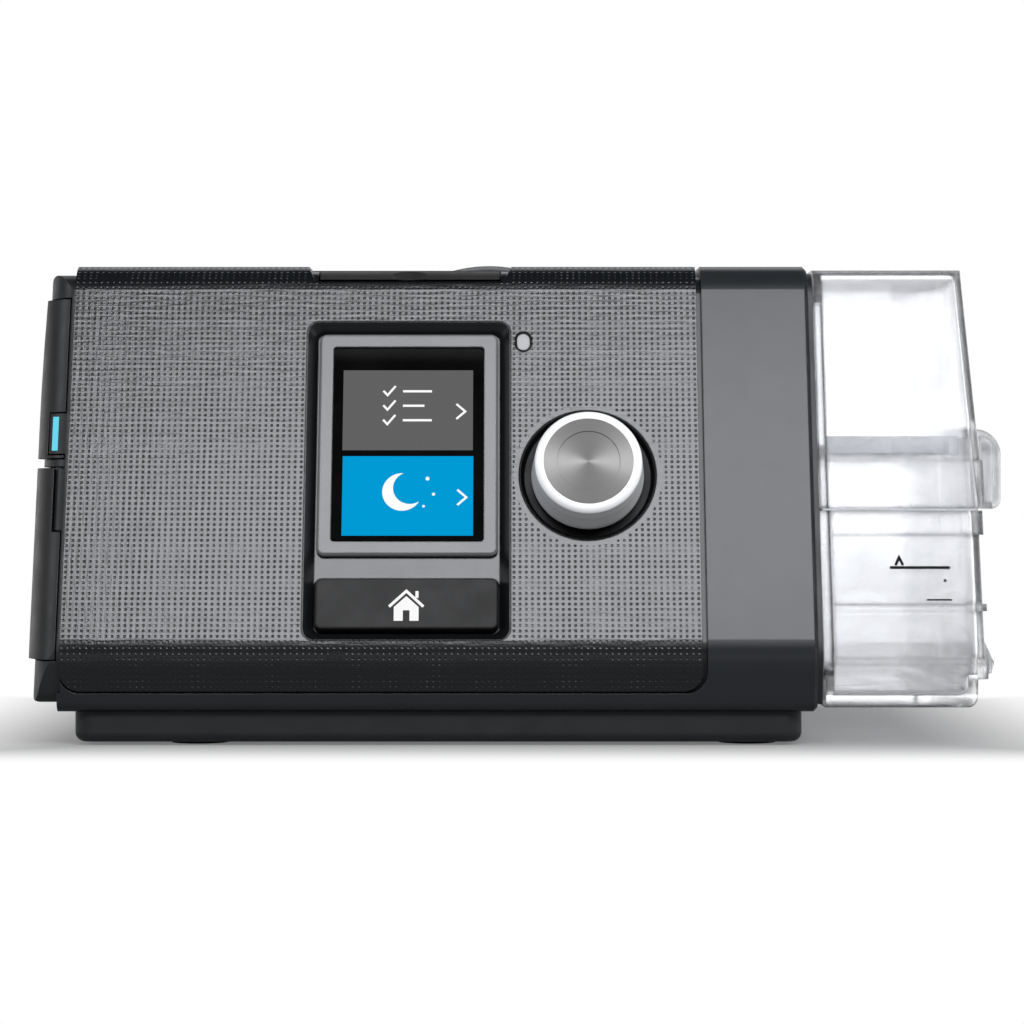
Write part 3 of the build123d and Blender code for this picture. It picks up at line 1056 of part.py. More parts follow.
def tub_base():
    """Clear water tub: a part inside the bay, a waist at its mouth, and stepped outer walls."""
    panel_end = TUB_END_X - PANEL_SINK
    panel_inset = TUB_INSET + PANEL_SINK
    rim_z = BASE_TOP_Z - RIM_HEIGHT
    body = case_slab(TUB_INNER_INSET, TUB_INNER_X, TUB_PANEL_X) & level(TUB_FLOOR_Z, BASE_TOP_Z)
    body += case_slab(panel_inset + 1.4, TUB_X, TUB_PANEL_X) & level(FOOT_BAND_Z, BASE_TOP_Z)
    body += tub_slab(panel_inset, TUB_PANEL_X, panel_end, TUB_CORNER_R, FOOT_BAND_Z, BASE_TOP_Z)
    body += tub_slab(TUB_INSET, TUB_PANEL_X, TUB_END_X, TUB_CORNER_R, rim_z, BASE_TOP_Z)
    body += tub_slab(TUB_INSET, TUB_PANEL_X, TUB_END_X, TUB_CORNER_R, LEDGE_Z, LEDGE_Z + LEDGE_HEIGHT)
    body += tub_slab(TUB_INSET + PANEL_SINK / 2, TUB_PANEL_X, TUB_END_X, TUB_CORNER_R,
                     LOW_LEDGE_Z, LOW_LEDGE_Z + LOW_LEDGE_HEIGHT)
    body += tub_slab(TUB_INSET, TUB_X + TUB_GAP, TUB_END_X, TUB_CORNER_R, FOOT_BAND_Z, LOW_LEDGE_Z)
    body += tub_slab(TUB_INSET, TUB_X + TUB_GAP, panel_end - TRAY_SHORT, TRAY_R, 0, FOOT_BAND_Z)
    root_x, tip_x = TUB_END_X - GRIP_ROOT, TUB_END_X + GRIP_REACH
    grip_low, grip_top = FOOT_BAND_Z + TUB_GAP, FOOT_BAND_Z + GRIP_HEIGHT
    grip = make_face(Polyline((root_x, grip_low), (tip_x - GRIP_EDGE, grip_low),
                              (tip_x, grip_low + 4 * GRIP_EDGE),
                              (TUB_END_X, grip_top), (root_x, grip_top), close=True))
    body += Pos(0, THUMB_Y + THUMB_WIDTH, 0) * extrude(Plane.XZ * grip, amount=THUMB_WIDTH)
    inner_floor = TUB_FLOOR_Z + TUB_WALL
    inner = case_slab(TUB_INNER_INSET + TUB_WALL, TUB_INNER_X + TUB_WALL, TUB_PANEL_X + 1)
    body -= inner & level(inner_floor, FAR)
    body -= tub_slab(panel_inset + TUB_WALL, TUB_PANEL_X, panel_end - TUB_WALL, TUB_CORNER_R - TUB_WALL,
                     FOOT_BAND_Z + 1, FAR)
    body -= tub_slab(panel_inset + TUB_WALL, TUB_PANEL_X, panel_end - TRAY_SHORT - TUB_WALL,
                     TRAY_R, 0, FOOT_BAND_Z + 1)
    return body - tub_plate()


def tub_plate():
    """Metal floor of the tub over the heater."""
    return heater_space(-2, TUB_FLOOR_Z, TUB_FLOOR_Z + PLATE_THICK)


def thumb_flange():
    """Hollow flange along the foot of the lid's free end."""
    y1, top = THUMB_Y + THUMB_WIDTH, LID_Z + THUMB_HEIGHT
    body = block(TUB_END_X - THUMB_ROOT, THUMB_END_X, THUMB_Y, y1, LID_Z, top)
    outer = body.edges().filter_by(Axis.Y).group_by(Axis.X)[-1].sort_by(Axis.Z)
    body = fillet(outer[0], THUMB_FOOT_R)
    body = fillet(body.edges().filter_by(Axis.Y).group_by(Axis.Z)[-1].sort_by(Axis.X)[-1], THUMB_R)
    hollow = block(TUB_END_X + SKIRT_PROUD, THUMB_END_X - THUMB_WALL, THUMB_Y + THUMB_WALL,
                   y1 - THUMB_WALL, LID_Z - 1, top - THUMB_WALL)
    corner = hollow.edges().filter_by(Axis.Y).group_by(Axis.Z)[-1].sort_by(Axis.X)[-1]
    return body - fillet(corner, THUMB_INNER_R)


def tub_lid():
    """Clear lid with a thick skirt, two air ports in its inner end and a thumb flange."""
    body = case_slab(TUB_INNER_INSET, TUB_INNER_X, TUB_X + TUB_WALL) & level(LID_Z, FAR)
    body += lid_slab(TUB_INSET, TUB_X, TUB_END_X, TUB_CORNER_R)
    body += tub_slab(TUB_INSET - SKIRT_PROUD, TUB_X, TUB_END_X + SKIRT_PROUD, TUB_CORNER_R,
                     LID_Z, LID_Z + SKIRT_HEIGHT)
    body += thumb_flange()
    body -= lid_slab(TUB_INSET + TUB_WALL, TUB_X + TUB_WALL, TUB_END_X - TUB_WALL, TUB_CORNER_R - TUB_WALL)
    neck = case_slab(TUB_INNER_INSET + TUB_WALL, TUB_INNER_X + TUB_WALL, TUB_X + TUB_WALL + 1)
    body -= neck & level(LID_Z - 1, FAR)
    for y, z in ((AIR_IN_Y, AIR_IN_Z), (AIR_OUT_Y, OUTLET_Z)):
        body -= rod("X", TUB_INNER_X - 1, y, z, PORT_D, TUB_WALL + 2)
    return body


def tub_seal():
    """Gasket between the tub and its lid."""
    z0, z1 = BASE_TOP_Z, LID_Z
    inset = TUB_INSET + PANEL_SINK
    body = case_slab(TUB_INNER_INSET + SEAL_INSET, TUB_INNER_X + SEAL_INSET, TUB_X + TUB_WALL)
    body &= level(z0, z1)
    body += tub_slab(inset, TUB_X + SEAL_INSET, TUB_END_X - PANEL_SINK, TUB_CORNER_R, z0, z1)
    inner = case_slab(TUB_INNER_INSET + TUB_WALL, TUB_INNER_X + TUB_WALL, TUB_PANEL_X + 1)
    body -= inner & level(z0 - 1, z1 + 1)
    return body - tub_slab(inset + TUB_WALL, TUB_PANEL_X, TUB_END_X - PANEL_SINK - TUB_WALL,
                           TUB_CORNER_R - TUB_WALL, z0 - 1, z1 + 1)


def lid_insert():
    """Grey frame inside the lid, above the seal."""
    z0, z1 = INSERT_Z, INSERT_Z + INSERT_HEIGHT
    inset = TUB_INSET + TUB_WALL
    end = TUB_END_X - TUB_WALL - INSERT_END_GAP
    body = tub_slab(inset, TUB_X + TUB_WALL, end, TUB_CORNER_R - TUB_WALL, z0, z1)
    return body - tub_slab(inset + INSERT_WIDTH, TUB_X + TUB_WALL - 1, end - INSERT_WIDTH,
                           INSERT_INNER_R, z0 - 1, z1 + 1)


# ================================================================ air path
def blower_lower_housing():
    """Foot half of the blower: a cup with a bearing boss and a seat for the stator."""
    body = rod("Z", BLOWER_X, BLOWER_Y, BLOWER_Z, BLOWER_D, BLOWER_SPLIT)
    body -= rod("Z", BLOWER_X, BLOWER_Y, BLOWER_Z + BLOWER_WALL, BLOWER_D - 2 * BLOWER_WALL, BLOWER_SPLIT)
    floor = BLOWER_Z + BLOWER_WALL / 2
    body += tube("Z", BLOWER_X, BLOWER_Y, floor, BEARING_D + 2 * BEARING_SEAT, BEARING_D,
                 BLOWER_WALL / 2 + BEARING_HEIGHT)
    return body + tube("Z", BLOWER_X, BLOWER_Y, floor, MOTOR_D, MOTOR_D - 2 * MOTOR_SEAT,
                       MOTOR_LIFT - BLOWER_WALL / 2)


def blower_upper_housing():
    """Head half of the blower: motor bridge, impeller chamber, intake and outlet."""
    height = BLOWER_HEIGHT - BLOWER_SPLIT
    body = rod("Z", BLOWER_X, BLOWER_Y, BLOWER_JOINT_Z, BLOWER_D, height)
    body -= rod("Z", BLOWER_X, BLOWER_Y, BLOWER_JOINT_Z + BLOWER_WALL, BLOWER_D - 2 * BLOWER_WALL,
                height - 2 * BLOWER_WALL)
    body -= rod("Z", BLOWER_X, BLOWER_Y, BLOWER_TOP_Z - 2 * BLOWER_WALL, INTAKE_D, 4 * BLOWER_WALL)
    body += rod("Z", BLOWER_X, BLOWER_Y, BLOWER_JOINT_Z + BLOWER_WALL / 2, BEARING_D + 2 * BEARING_SEAT,
                BLOWER_WALL / 2 + BEARING_HEIGHT)
    body -= rod("Z", BLOWER_X, BLOWER_Y, BLOWER_JOINT_Z - 1, BEARING_D, 2 * BEARING_HEIGHT + 2)
    return body - rod("X", BLOWER_X, AIR_IN_Y, AIR_IN_Z, PORT_D, BLOWER_D)


def impeller():
    """Backward-leaning blades on a disc, pressed onto the shaft."""
    body = rod("Z", 0, 0, 0, IMPELLER_D, IMPELLER_DISC) + rod("Z", 0, 0, 0, 2 * HUB_R, IMPELLER_HEIGHT)
    reach = IMPELLER_D / 2 - HUB_R
    for i in range(BLADES):
        place = Pos(HUB_R + reach / 2 - 1, 0, IMPELLER_HEIGHT / 2) * Rot(0, 0, BLADE_LEAN)
        blade = place * Box(reach, BLADE_THICK, IMPELLER_HEIGHT)
        body += Rot(0, 0, 360 / BLADES * i) * blade
    body &= rod("Z", 0, 0, 0, IMPELLER_D, IMPELLER_HEIGHT)
    body -= rod("Z", 0, 0, -1, AXLE_D, IMPELLER_HEIGHT + 2)
    return Pos(BLOWER_X, BLOWER_Y, IMPELLER_Z) * body


def motor_axle():
    z0 = BLOWER_Z + BLOWER_WALL + AXLE_FOOT_GAP
    return rod("Z", BLOWER_X, BLOWER_Y, z0, AXLE_D, IMPELLER_Z + IMPELLER_HEIGHT - z0)


def motor_rotor():
    z0 = BLOWER_Z + MOTOR_LIFT + ROTOR_SHORT
    return tube("Z", BLOWER_X, BLOWER_Y, z0, MOTOR_BORE - 2 * MOTOR_AIR_GAP, AXLE_D,
                MOTOR_HEIGHT - 2 * ROTOR_SHORT)


def motor_stator():
    return tube("Z", BLOWER_X, BLOWER_Y, BLOWER_Z + MOTOR_LIFT, MOTOR_D, MOTOR_BORE, MOTOR_HEIGHT)


def motor_bearings():
    rings = [tube("Z", BLOWER_X, BLOWER_Y, z, BEARING_D, AXLE_D + 2 * RUN_GAP, BEARING_HEIGHT)
             for z in (BLOWER_Z + BLOWER_WALL, BLOWER_JOINT_Z + BLOWER_WALL)]
    return Compound(children=rings)


def blower_mounts():
    posts = [rod("Z", x, y, FLOOR_Z, MOUNT_D, BLOWER_Z - FLOOR_Z) for x, y in BLOWER_FEET]
    return Compound(children=posts)


def pressure_duct():
    """Tube from the blower's side to the bay's lower air port."""
    start_x = BLOWER_X + DUCT_ROOT
    body = tube("X", start_x, AIR_IN_Y, AIR_IN_Z, DUCT_D, PORT_D, LINER_X - start_x)
    return body - rod("Z", BLOWER_X, BLOWER_Y, 0, BLOWER_D, FAR)


def outlet_duct():
    """Elbow from the bay's upper air port to the outlet at the rear."""
    def elbow(diameter, extra):
        body = rod("X", OUTLET_X, AIR_OUT_Y, OUTLET_Z, diameter, LINER_X - OUTLET_X + extra)
        body += rod("Y", OUTLET_X, AIR_OUT_Y, OUTLET_Z, diameter, DUCT_END_Y - AIR_OUT_Y + extra)
        return body + Pos(OUTLET_X, AIR_OUT_Y, OUTLET_Z) * Sphere(diameter / 2)
    return elbow(DUCT_D, 0) - elbow(PORT_D, 1)


def air_outlet_port():
    """Hose connector at the rear, with a flange behind the outlet's well."""
    y0, flange_y = DUCT_END_Y - PORT_SINK, DUCT_END_Y - PORT_FLANGE
    body = rod("Y", OUTLET_X, flange_y, OUTLET_Z, OUTLET_D, REAR_Y + OUTLET_REACH - flange_y)
    body += rod("Y", OUTLET_X, flange_y, OUTLET_Z, OUTLET_D + 2 * PORT_FLANGE_REACH, PORT_FLANGE)
    body += rod("Y", OUTLET_X, y0, OUTLET_Z, PORT_SINK_D, PORT_SINK)
    tip = body.faces().sort_by(Axis.Y)[-1]
    body = chamfer(tip.edges(), PORT_EDGE)
    return body - rod("Y", OUTLET_X, y0 - 1, OUTLET_Z, DUCT_D, FAR)


def flow_sensor():
    x0 = (OUTLET_X + LINER_X - FLOW_SENSOR_LENGTH) / 2
    half, foot = FLOW_SENSOR_WIDTH / 2, AIR_IN_Z + DUCT_D / 2 - FLOW_SENSOR_WRAP
    body = block(x0, x0 + FLOW_SENSOR_LENGTH, AIR_IN_Y - half, AIR_IN_Y + half,
                 foot, foot + FLOW_SENSOR_HEIGHT)
    return body - rod("X", x0 - 1, AIR_IN_Y, AIR_IN_Z, DUCT_D, FLOW_SENSOR_LENGTH + 2)


def muffler_foam():
    middle = BLOWER_Y + MUFFLER_SHIFT
    body = block(BLOWER_X - MUFFLER_LENGTH / 2, BLOWER_X + MUFFLER_LENGTH / 2, middle - MUFFLER_WIDTH / 2,
                 middle + MUFFLER_WIDTH / 2, BLOWER_TOP_Z, BLOWER_TOP_Z + MUFFLER_HEIGHT)
    return body - rod("Z", BLOWER_X, BLOWER_Y, 0, INTAKE_D, FAR)


def air_filter():
    y1 = REAR_Y - CASE_WALL - 2 * DOOR_GAP
    return block(FILTER_X - FILTER_WIDTH / 2, FILTER_DOOR_X1 - DOOR_GAP, y1 - FILTER_THICK, y1,
                 FILTER_DOOR_Z0 + DOOR_GAP, FILTER_DOOR_Z1 - DOOR_GAP)


def filter_frame():
    """Open box that holds the filter against the rear wall."""
    y1 = REAR_Y - CASE_WALL - DOOR_GAP
    y0 = y1 - FILTER_FRAME_DEPTH
    wall = FILTER_FRAME_WALL
    x0, x1 = FILTER_X - FILTER_WIDTH / 2 - DOOR_GAP, FILTER_DOOR_X1 + DOOR_GAP
    z0, z1 = FILTER_DOOR_Z0 - DOOR_GAP, FILTER_DOOR_Z1 + DOOR_GAP
    body = block(x0 - wall, x1 + wall, y0, y1, z0 - wall, z1 + wall)
    body -= block(x0, x1, y0 + wall, y1 + 1, z0, z1)
    ledge = FILTER_FRAME_LEDGE
    return body - block(x0 + ledge, x1 - ledge, y0 - 1, y1, z0 + ledge, z1 - ledge)


# ================================================================ power, boards, fixings
def power_socket():
    """DC inlet set in the rear wall."""
    half_x, half_z = SOCKET_WIDTH / 2, SOCKET_HEIGHT / 2
    body = block(SOCKET_X - half_x, SOCKET_X + half_x, REAR_Y - SOCKET_DEPTH,
                 REAR_Y - SOCKET_SET_BACK,
                 SOCKET_Z - half_z, SOCKET_Z + half_z)
    flange_x, flange_z = half_x + SOCKET_FLANGE, half_z + SOCKET_FLANGE
    body += block(SOCKET_X - flange_x, SOCKET_X + flange_x, REAR_Y - CASE_WALL - SOCKET_FLANGE,
                  REAR_Y - CASE_WALL,
                  SOCKET_Z - flange_z, SOCKET_Z + flange_z)
    inner_x, inner_z = half_x - SOCKET_WALL, half_z - SOCKET_WALL
    floor_y = REAR_Y - SOCKET_DEPTH + SOCKET_FLOOR
    return body - block(SOCKET_X - inner_x, SOCKET_X + inner_x, floor_y, REAR_Y, SOCKET_Z - inner_z,
                        SOCKET_Z + inner_z)


def socket_pins():
    foot = REAR_Y - SOCKET_DEPTH + SOCKET_FLOOR
    pins = [rod("Y", SOCKET_X + i * SOCKET_PIN_PITCH, foot, SOCKET_Z, SOCKET_PIN_D,
                SOCKET_DEPTH - SOCKET_FLOOR - SOCKET_PIN_SHORT)
            for i in (-1, 0, 1)]
    return Compound(children=pins)


def retention_clip():
    """Swinging loop that keeps the power plug in, on pins in the rear cover's ears."""
    half = CLIP_SPAN / 2
    y0, y1 = CLIP_Y - CLIP_THICK / 2, CLIP_Y + CLIP_THICK / 2
    low = CLIP_Z - CLIP_DROP
    body = rod("X", SOCKET_X - half, CLIP_Y, CLIP_Z, CLIP_THICK, CLIP_SPAN)
    for side in (-1, 1):
        x = SOCKET_X + side * (half - CLIP_THICK / 2)
        body += block(x - CLIP_THICK / 2, x + CLIP_THICK / 2, y0, y1, low, CLIP_Z)
    body += block(SOCKET_X - half, SOCKET_X + half, y0, y1, low - CLIP_THICK, low)
    reach = CLIP_EAR_GAP + CLIP_EAR_THICK * 0.75
    return body + rod("X", SOCKET_X - half - reach, CLIP_Y, CLIP_Z, CLIP_PIN_D - 2 * RUN_GAP,
                      CLIP_SPAN + 2 * reach)


def main_board():
    half_x, half_y = MAIN_BOARD_LENGTH / 2, MAIN_BOARD_WIDTH / 2
    return block(MAIN_BOARD_X - half_x, MAIN_BOARD_X + half_x, MAIN_BOARD_Y - half_y, MAIN_BOARD_Y + half_y,
                 MAIN_BOARD_Z, MAIN_BOARD_Z + BOARD_THICK)


def board_components():
    """Capacitors, chips, a connector and the radio module on the main board."""
    quarter_x, quarter_y = MAIN_BOARD_LENGTH / 4, MAIN_BOARD_WIDTH / 4
    board = Pos(MAIN_BOARD_X, MAIN_BOARD_Y, MAIN_BOARD_Z + BOARD_THICK)
    foot = (Align.CENTER, Align.CENTER, Align.MIN)
    capacitor = Cylinder(CAPACITOR_D / 2, CAPACITOR_HEIGHT, align=foot)
    chip = Box(CHIP_SIZE, CHIP_SIZE, CHIP_HEIGHT, align=foot)
    plug = Box(PLUG_LENGTH, PLUG_SIZE, PLUG_SIZE, align=foot)
    radio = Box(RADIO_LENGTH, RADIO_WIDTH, RADIO_HEIGHT, align=foot)
    parts = [board * Pos(-quarter_x, share * quarter_y, 0) * capacitor for share in (1.3, 0.6)]
    parts += [board * Pos(quarter_x / 2, share * quarter_y, 0) * chip for share in (0.9, 0.1)]
    parts.append(board * Pos(quarter_x, 1.7 * quarter_y, 0) * plug)
    parts.append(board * Pos(0, -1.4 * quarter_y, 0) * radio)
    return Compound(children=parts)


def rubber_feet():
    pads = [rod("Z", x, y, 0, FOOT_D, FOOT_PROUD + FOOT_SUNK) for x, y in FEET]
    return Compound(children=pads)


def case_screws():
    """Screws and nuts that hold the plinth, and the main board's spacers."""
    seat = FOOT_PROUD + SCREW_HEAD + SCREW_SEAT_GAP
    fixings = [rod("Z", x, y, FLOOR_Z, SPACER_D, MAIN_BOARD_LIFT) for x, y in MAIN_BOARD_POSTS]
    for x, y in CASE_SCREWS:
        screw = rod("Z", x, y, seat - SCREW_HEAD, SCREW_HEAD_D, SCREW_HEAD)
        screw += rod("Z", x, y, seat, SCREW_D, FLOOR_Z + NUT_HEIGHT - seat)
        fixings.append(screw + rod("Z", x, y, FLOOR_Z, NUT_D, NUT_HEIGHT))
    return Compound(children=fixings)


# ================================================================ export
PIECES = [base_chassis, rubber_feet, main_casing, front_fascia, rear_cover, case_screws, left_end_cap,
          adapter_cover, sd_card_cover, led_light_pipe, adapter_port, sd_card, sd_card_reader,
          hinge_pins, display_surround, screen_bezel, screen_glass, lcd_module, display_board,
          home_button, sensor_ring, sensor_lens, dial_well, dial_ring, dial_cap, dial_shaft,
          encoder_body, encoder_plunger, start_button, start_switch_board, bay_liner, heater_plate,
          heater_foam, port_seals, tub_base, tub_plate, tub_lid, tub_seal, lid_insert,
          blower_lower_housing, blower_upper_housing, impeller, motor_axle, motor_rotor, motor_stator,
          motor_bearings, blower_mounts, pressure_duct, outlet_duct, air_outlet_port, flow_sensor,
          muffler_foam, air_filter, filter_frame, filter_cover, power_socket, socket_pins,
          retention_clip, main_board, board_components]

os.makedirs("parts", exist_ok=True)
for make_piece in PIECES:
    name = make_piece.__name__
    piece = make_piece()
    piece.label = name
    export_step(piece, f"parts/{name}.step")
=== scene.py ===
"""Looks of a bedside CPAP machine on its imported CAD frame: finishes, the screen's picture, printed
marks, floor, light and camera. Lengths are in metres and angles in radians. The sloped front has
its own coordinates: x along the machine, u up the slope, and a depth below the surface."""
import json
import math
import bmesh
import bpy
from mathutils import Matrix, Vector


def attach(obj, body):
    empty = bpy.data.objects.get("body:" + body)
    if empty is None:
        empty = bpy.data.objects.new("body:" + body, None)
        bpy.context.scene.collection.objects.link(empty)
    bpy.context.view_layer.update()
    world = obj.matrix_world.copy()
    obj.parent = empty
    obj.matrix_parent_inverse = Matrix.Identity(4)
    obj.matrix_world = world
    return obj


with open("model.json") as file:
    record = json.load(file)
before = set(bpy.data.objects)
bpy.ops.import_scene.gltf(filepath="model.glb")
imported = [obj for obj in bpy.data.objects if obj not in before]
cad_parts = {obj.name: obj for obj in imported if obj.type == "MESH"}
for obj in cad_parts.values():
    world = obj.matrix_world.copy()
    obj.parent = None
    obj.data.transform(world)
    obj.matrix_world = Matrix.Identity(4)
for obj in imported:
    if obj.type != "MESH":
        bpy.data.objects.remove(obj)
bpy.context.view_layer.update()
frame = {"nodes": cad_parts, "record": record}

MM = 0.001

# ---------------------------------------------------------------- side outline of the case
FACE_TILT = math.radians(18.5)
TOP_RISE = math.radians(1.0)
UNDERCUT = math.radians(12.1)
FACE_ORIGIN = Vector((0, -74.635, 21.6)) * MM
CHIN_CORNER = Vector((0, -75.421, 19.25)) * MM
TOP_CORNER = Vector((0, -47.633, 102.30)) * MM
CHIN_R = 12.0 * MM
TOP_R = 7.9 * MM

OUTWARD = Vector((0, -math.cos(FACE_TILT), math.sin(FACE_TILT)))
UPWARD = Vector((0, math.sin(FACE_TILT), math.cos(FACE_TILT)))
TOP_NORMAL = Vector((0, -math.sin(TOP_RISE), math.cos(TOP_RISE)))
TOP_ALONG = Vector((0, math.cos(TOP_RISE), math.sin(TOP_RISE)))
CHIN_NORMAL = Vector((0, -math.cos(UNDERCUT), -math.sin(UNDERCUT)))
CHIN_ALONG = Vector((0, math.sin(UNDERCUT), -math.cos(UNDERCUT)))
TOP_CENTRE = TOP_CORNER - (OUTWARD + TOP_NORMAL) * (TOP_R / (1 + OUTWARD.dot(TOP_NORMAL)))
CHIN_CENTRE = CHIN_CORNER - (OUTWARD + CHIN_NORMAL) * (CHIN_R / (1 + OUTWARD.dot(CHIN_NORMAL)))

# ---------------------------------------------------------------- sloped front, in millimetres
DIMPLE_PITCH = (1.29, 1.17)                 # along the machine and up the slope
DIMPLE_R = 0.29
DIMPLE_DEPTH = 0.08
DIMPLE_MATT = 0.12                          # roughness that a dimple adds
DIMPLE_FADE = (0.4, 1.25)                   # where its shape begins and ends, in radii
SCREEN_X = -23.2
RECESS = (-45.15, -1.25, 0.45, 72.15)       # x0, x1, u0, u1
DIAL_X, DIAL_U = 15.0, 37.05
DIAL_AXIS = Vector((DIAL_X, 0, 0)) * MM + FACE_ORIGIN + UPWARD * DIAL_U * MM
WELL_R = 14.65
THREAD = 0.8                                # width of the weave's threads
THREAD_STRETCH = 0.12                       # their width over their length
THREAD_DEPTH = 0.55                         # their height over the dimples' depth
WEAVE_BAND = 7.0                            # width of the bands where dimples get stronger or weaker
RECESS_RIM = 0.3                            # smooth rim of the fascia round the recess
WELL_RIM = 1.2                              # and round the dial's well
SCOOP_HALF = 21.5                           # smooth border of the start bar's scoop
SCOOP_Z = 98.2
BORDER_SOFT = 0.2                           # over which the dimples stop at a border
GLASS_DEPTH = 1.9
BUTTON_DEPTH = 0.6
TUB_PANEL_DEPTH = 1.6
PRINT = 0.03                                # thickness of printed marks
SYMBOL_LINE = 0.46                          # line widths of the screen's symbols
LIST_LINE = 0.5
MARK_LINE = 0.6                             # and of the printed marks
DOT_SIDES = 24
GREY_TILE = (-37.2, -9.4, 43.3, 61.5)
BLUE_TILE = (-37.1, -9.3, 24.15, 41.95)
GLASS_PAINTED_SHEEN = (63.0, 66.7)                  # where the glass is painted from black up to a lighter top, a painted reflection

DEEP_BLACK = ("dial_well", "sensor_ring")

# ---------------------------------------------------------------- studio, in metres
COOL_LAMP = (0.95, 0.965, 1.0)
LAMPS_AIM = Vector((0.0, -0.06, 0.055))
ROOM_LIGHT = 0.14                           # light of the world on matt surfaces
FLOOR_HALF = 6.0
FLOOR_Z = -0.0001                           # just below the feet
FLOOR_PAPER = 0.28                          # what the floor gives back where it isn't shown white
FOOTPRINT = (0.095, 0.072)                  # half sizes of the machine on the floor, round which the floor is painted darker as a shadow

# ---------------------------------------------------------------- camera
CAMERA_AT = Vector((-1.05, -765.4, 48.9)) * MM
SENSOR = 36.0
FOCAL_PIXELS = 3314.0
PHOTO_WIDTH = 1024.0


# ================================================================ node trees
class Tree:
    """A material's or the world's nodes, with short calls for the ones used here."""

    def __init__(self, owner):
        owner.use_nodes = True
        self.tree = owner.node_tree
        self.tree.nodes.clear()

    def add(self, kind, inputs=None, **settings):
        """A node with its settings, and its sockets set to numbers or linked to other sockets."""
        node = self.tree.nodes.new("ShaderNode" + kind)
        for key, value in settings.items():
            setattr(node, key, value)
        for key, value in (inputs or {}).items():
            self.put(node.inputs[key], value)
        return node

    def put(self, socket, value):
        if isinstance(value, bpy.types.NodeSocket):
            self.tree.links.new(value, socket)
        else:
            socket.default_value = value

    def math(self, operation, a, b=0.0, clamp=False):
        return self.add("Math", {0: a, 1: b}, operation=operation, use_clamp=clamp).outputs[0]

    def dot(self, a, b):
        return self.add("VectorMath", {0: a, 1: b}, operation="DOT_PRODUCT").outputs["Value"]

    def cross(self, a, b):
        return self.add("VectorMath", {0: a, 1: b}, operation="CROSS_PRODUCT").outputs[0]

    def minus(self, a, b):
        return self.add("VectorMath", {0: a, 1: b}, operation="SUBTRACT").outputs[0]

    def length(self, vector):
        return self.add("VectorMath", {0: vector}, operation="LENGTH").outputs["Value"]

    def place(self):
        """The point on the piece, in metres in the frame at rest."""
        return self.add("TexCoord").outputs["Object"]

    def axes(self, vector):
        return self.add("SeparateXYZ", {0: vector}).outputs

    def ramp(self, value, low, high, start=0.0, end=1.0):
        """Runs smoothly from start to end while the value goes from low to high."""
        inputs = {0: value, 1: low, 2: high, 3: start, 4: end}
        return self.add("MapRange", inputs, interpolation_type="SMOOTHSTEP").outputs[0]

    def noise(self, size, detail=2.0, vector=None, roughness=0.5):
        """Noise whose features are about size metres across."""
        inputs = {"Vector": vector or self.place(), "Scale": 1 / size, "Detail": detail,
                  "Roughness": roughness}
        return self.add("TexNoise", inputs).outputs[0]

    def mix(self, factor, a, b):
        node = self.add("Mix", {0: factor}, data_type="RGBA")
        self.put(node.inputs[6], a)
        self.put(node.inputs[7], b)
        return node.outputs[2]

    def beside(self, value, low, high):
        """How far a value is outside a range. It is negative inside."""
        off = self.math("ABSOLUTE", self.math("SUBTRACT", value, (low + high) / 2))
        return self.math("SUBTRACT", off, (high - low) / 2)

    def bump(self, height, distance, normal=None):
        inputs = {"Height": height, "Distance": distance}
        if normal:
            inputs["Normal"] = normal
        return self.add("Bump", inputs).outputs[0]

    def soft_edge(self, radius):
        """Normal that rounds sharp edges."""
        return self.add("Bevel", {"Radius": radius}, samples=4).outputs[0]

    def along_edges(self, rounded):
        """1 where a rounded normal leaves the true one, which is along sharp edges, and else 0."""
        true = self.add("NewGeometry").outputs["Normal"]
        return self.ramp(self.dot(rounded, true), 0.80, 0.995, 1.0, 0.0)

    def finish(self, shader):
        kind = "OutputWorld" if self.tree.id_data.id_type == "WORLD" else "OutputMaterial"
        self.add(kind, {"Surface": shader})


def grey(level, blue=0.0):
    """A near neutral colour, as linear numbers."""
    return (level, level * (1 + blue / 2), level * (1 + blue), 1.0)


def shade(colour, factor):
    return tuple(part * factor for part in colour[:3]) + (1.0,)


# ================================================================ materials
def moulded(name, colour, roughness, grain=0.3 * MM, grain_depth=0.002 * MM, edge=0.3 * MM,
            mottle=0.12, uneven=0.045, gloss=0.5, pattern=None, **extra):
    """Moulded plastic: fine grain, slightly uneven gloss and colour, and softened, lighter edges."""
    material = bpy.data.materials.new(name)
    t = Tree(material)
    rounded = t.soft_edge(edge)
    wear = t.along_edges(rounded)
    cloud = t.ramp(t.noise(14 * MM, 3.0), 0.3, 0.7)
    base = t.mix(cloud, shade(colour, 1 - mottle), shade(colour, 1 + mottle))
    base = t.mix(t.math("MULTIPLY", wear, 0.35), base, shade(colour, 1.9))
    normal = t.bump(t.noise(grain, 2.0), grain_depth, rounded)
    rough = t.ramp(t.noise(5 * MM, 4.0), 0.25, 0.75, roughness - uneven, roughness + uneven)
    if pattern:
        base, normal, rough = pattern(t, base, normal, rough)
    inputs = {"Base Color": base, "Roughness": rough, "Normal": normal, "Specular IOR Level": gloss}
    inputs.update(extra)
    t.finish(t.add("BsdfPrincipled", inputs).outputs[0])
    return material


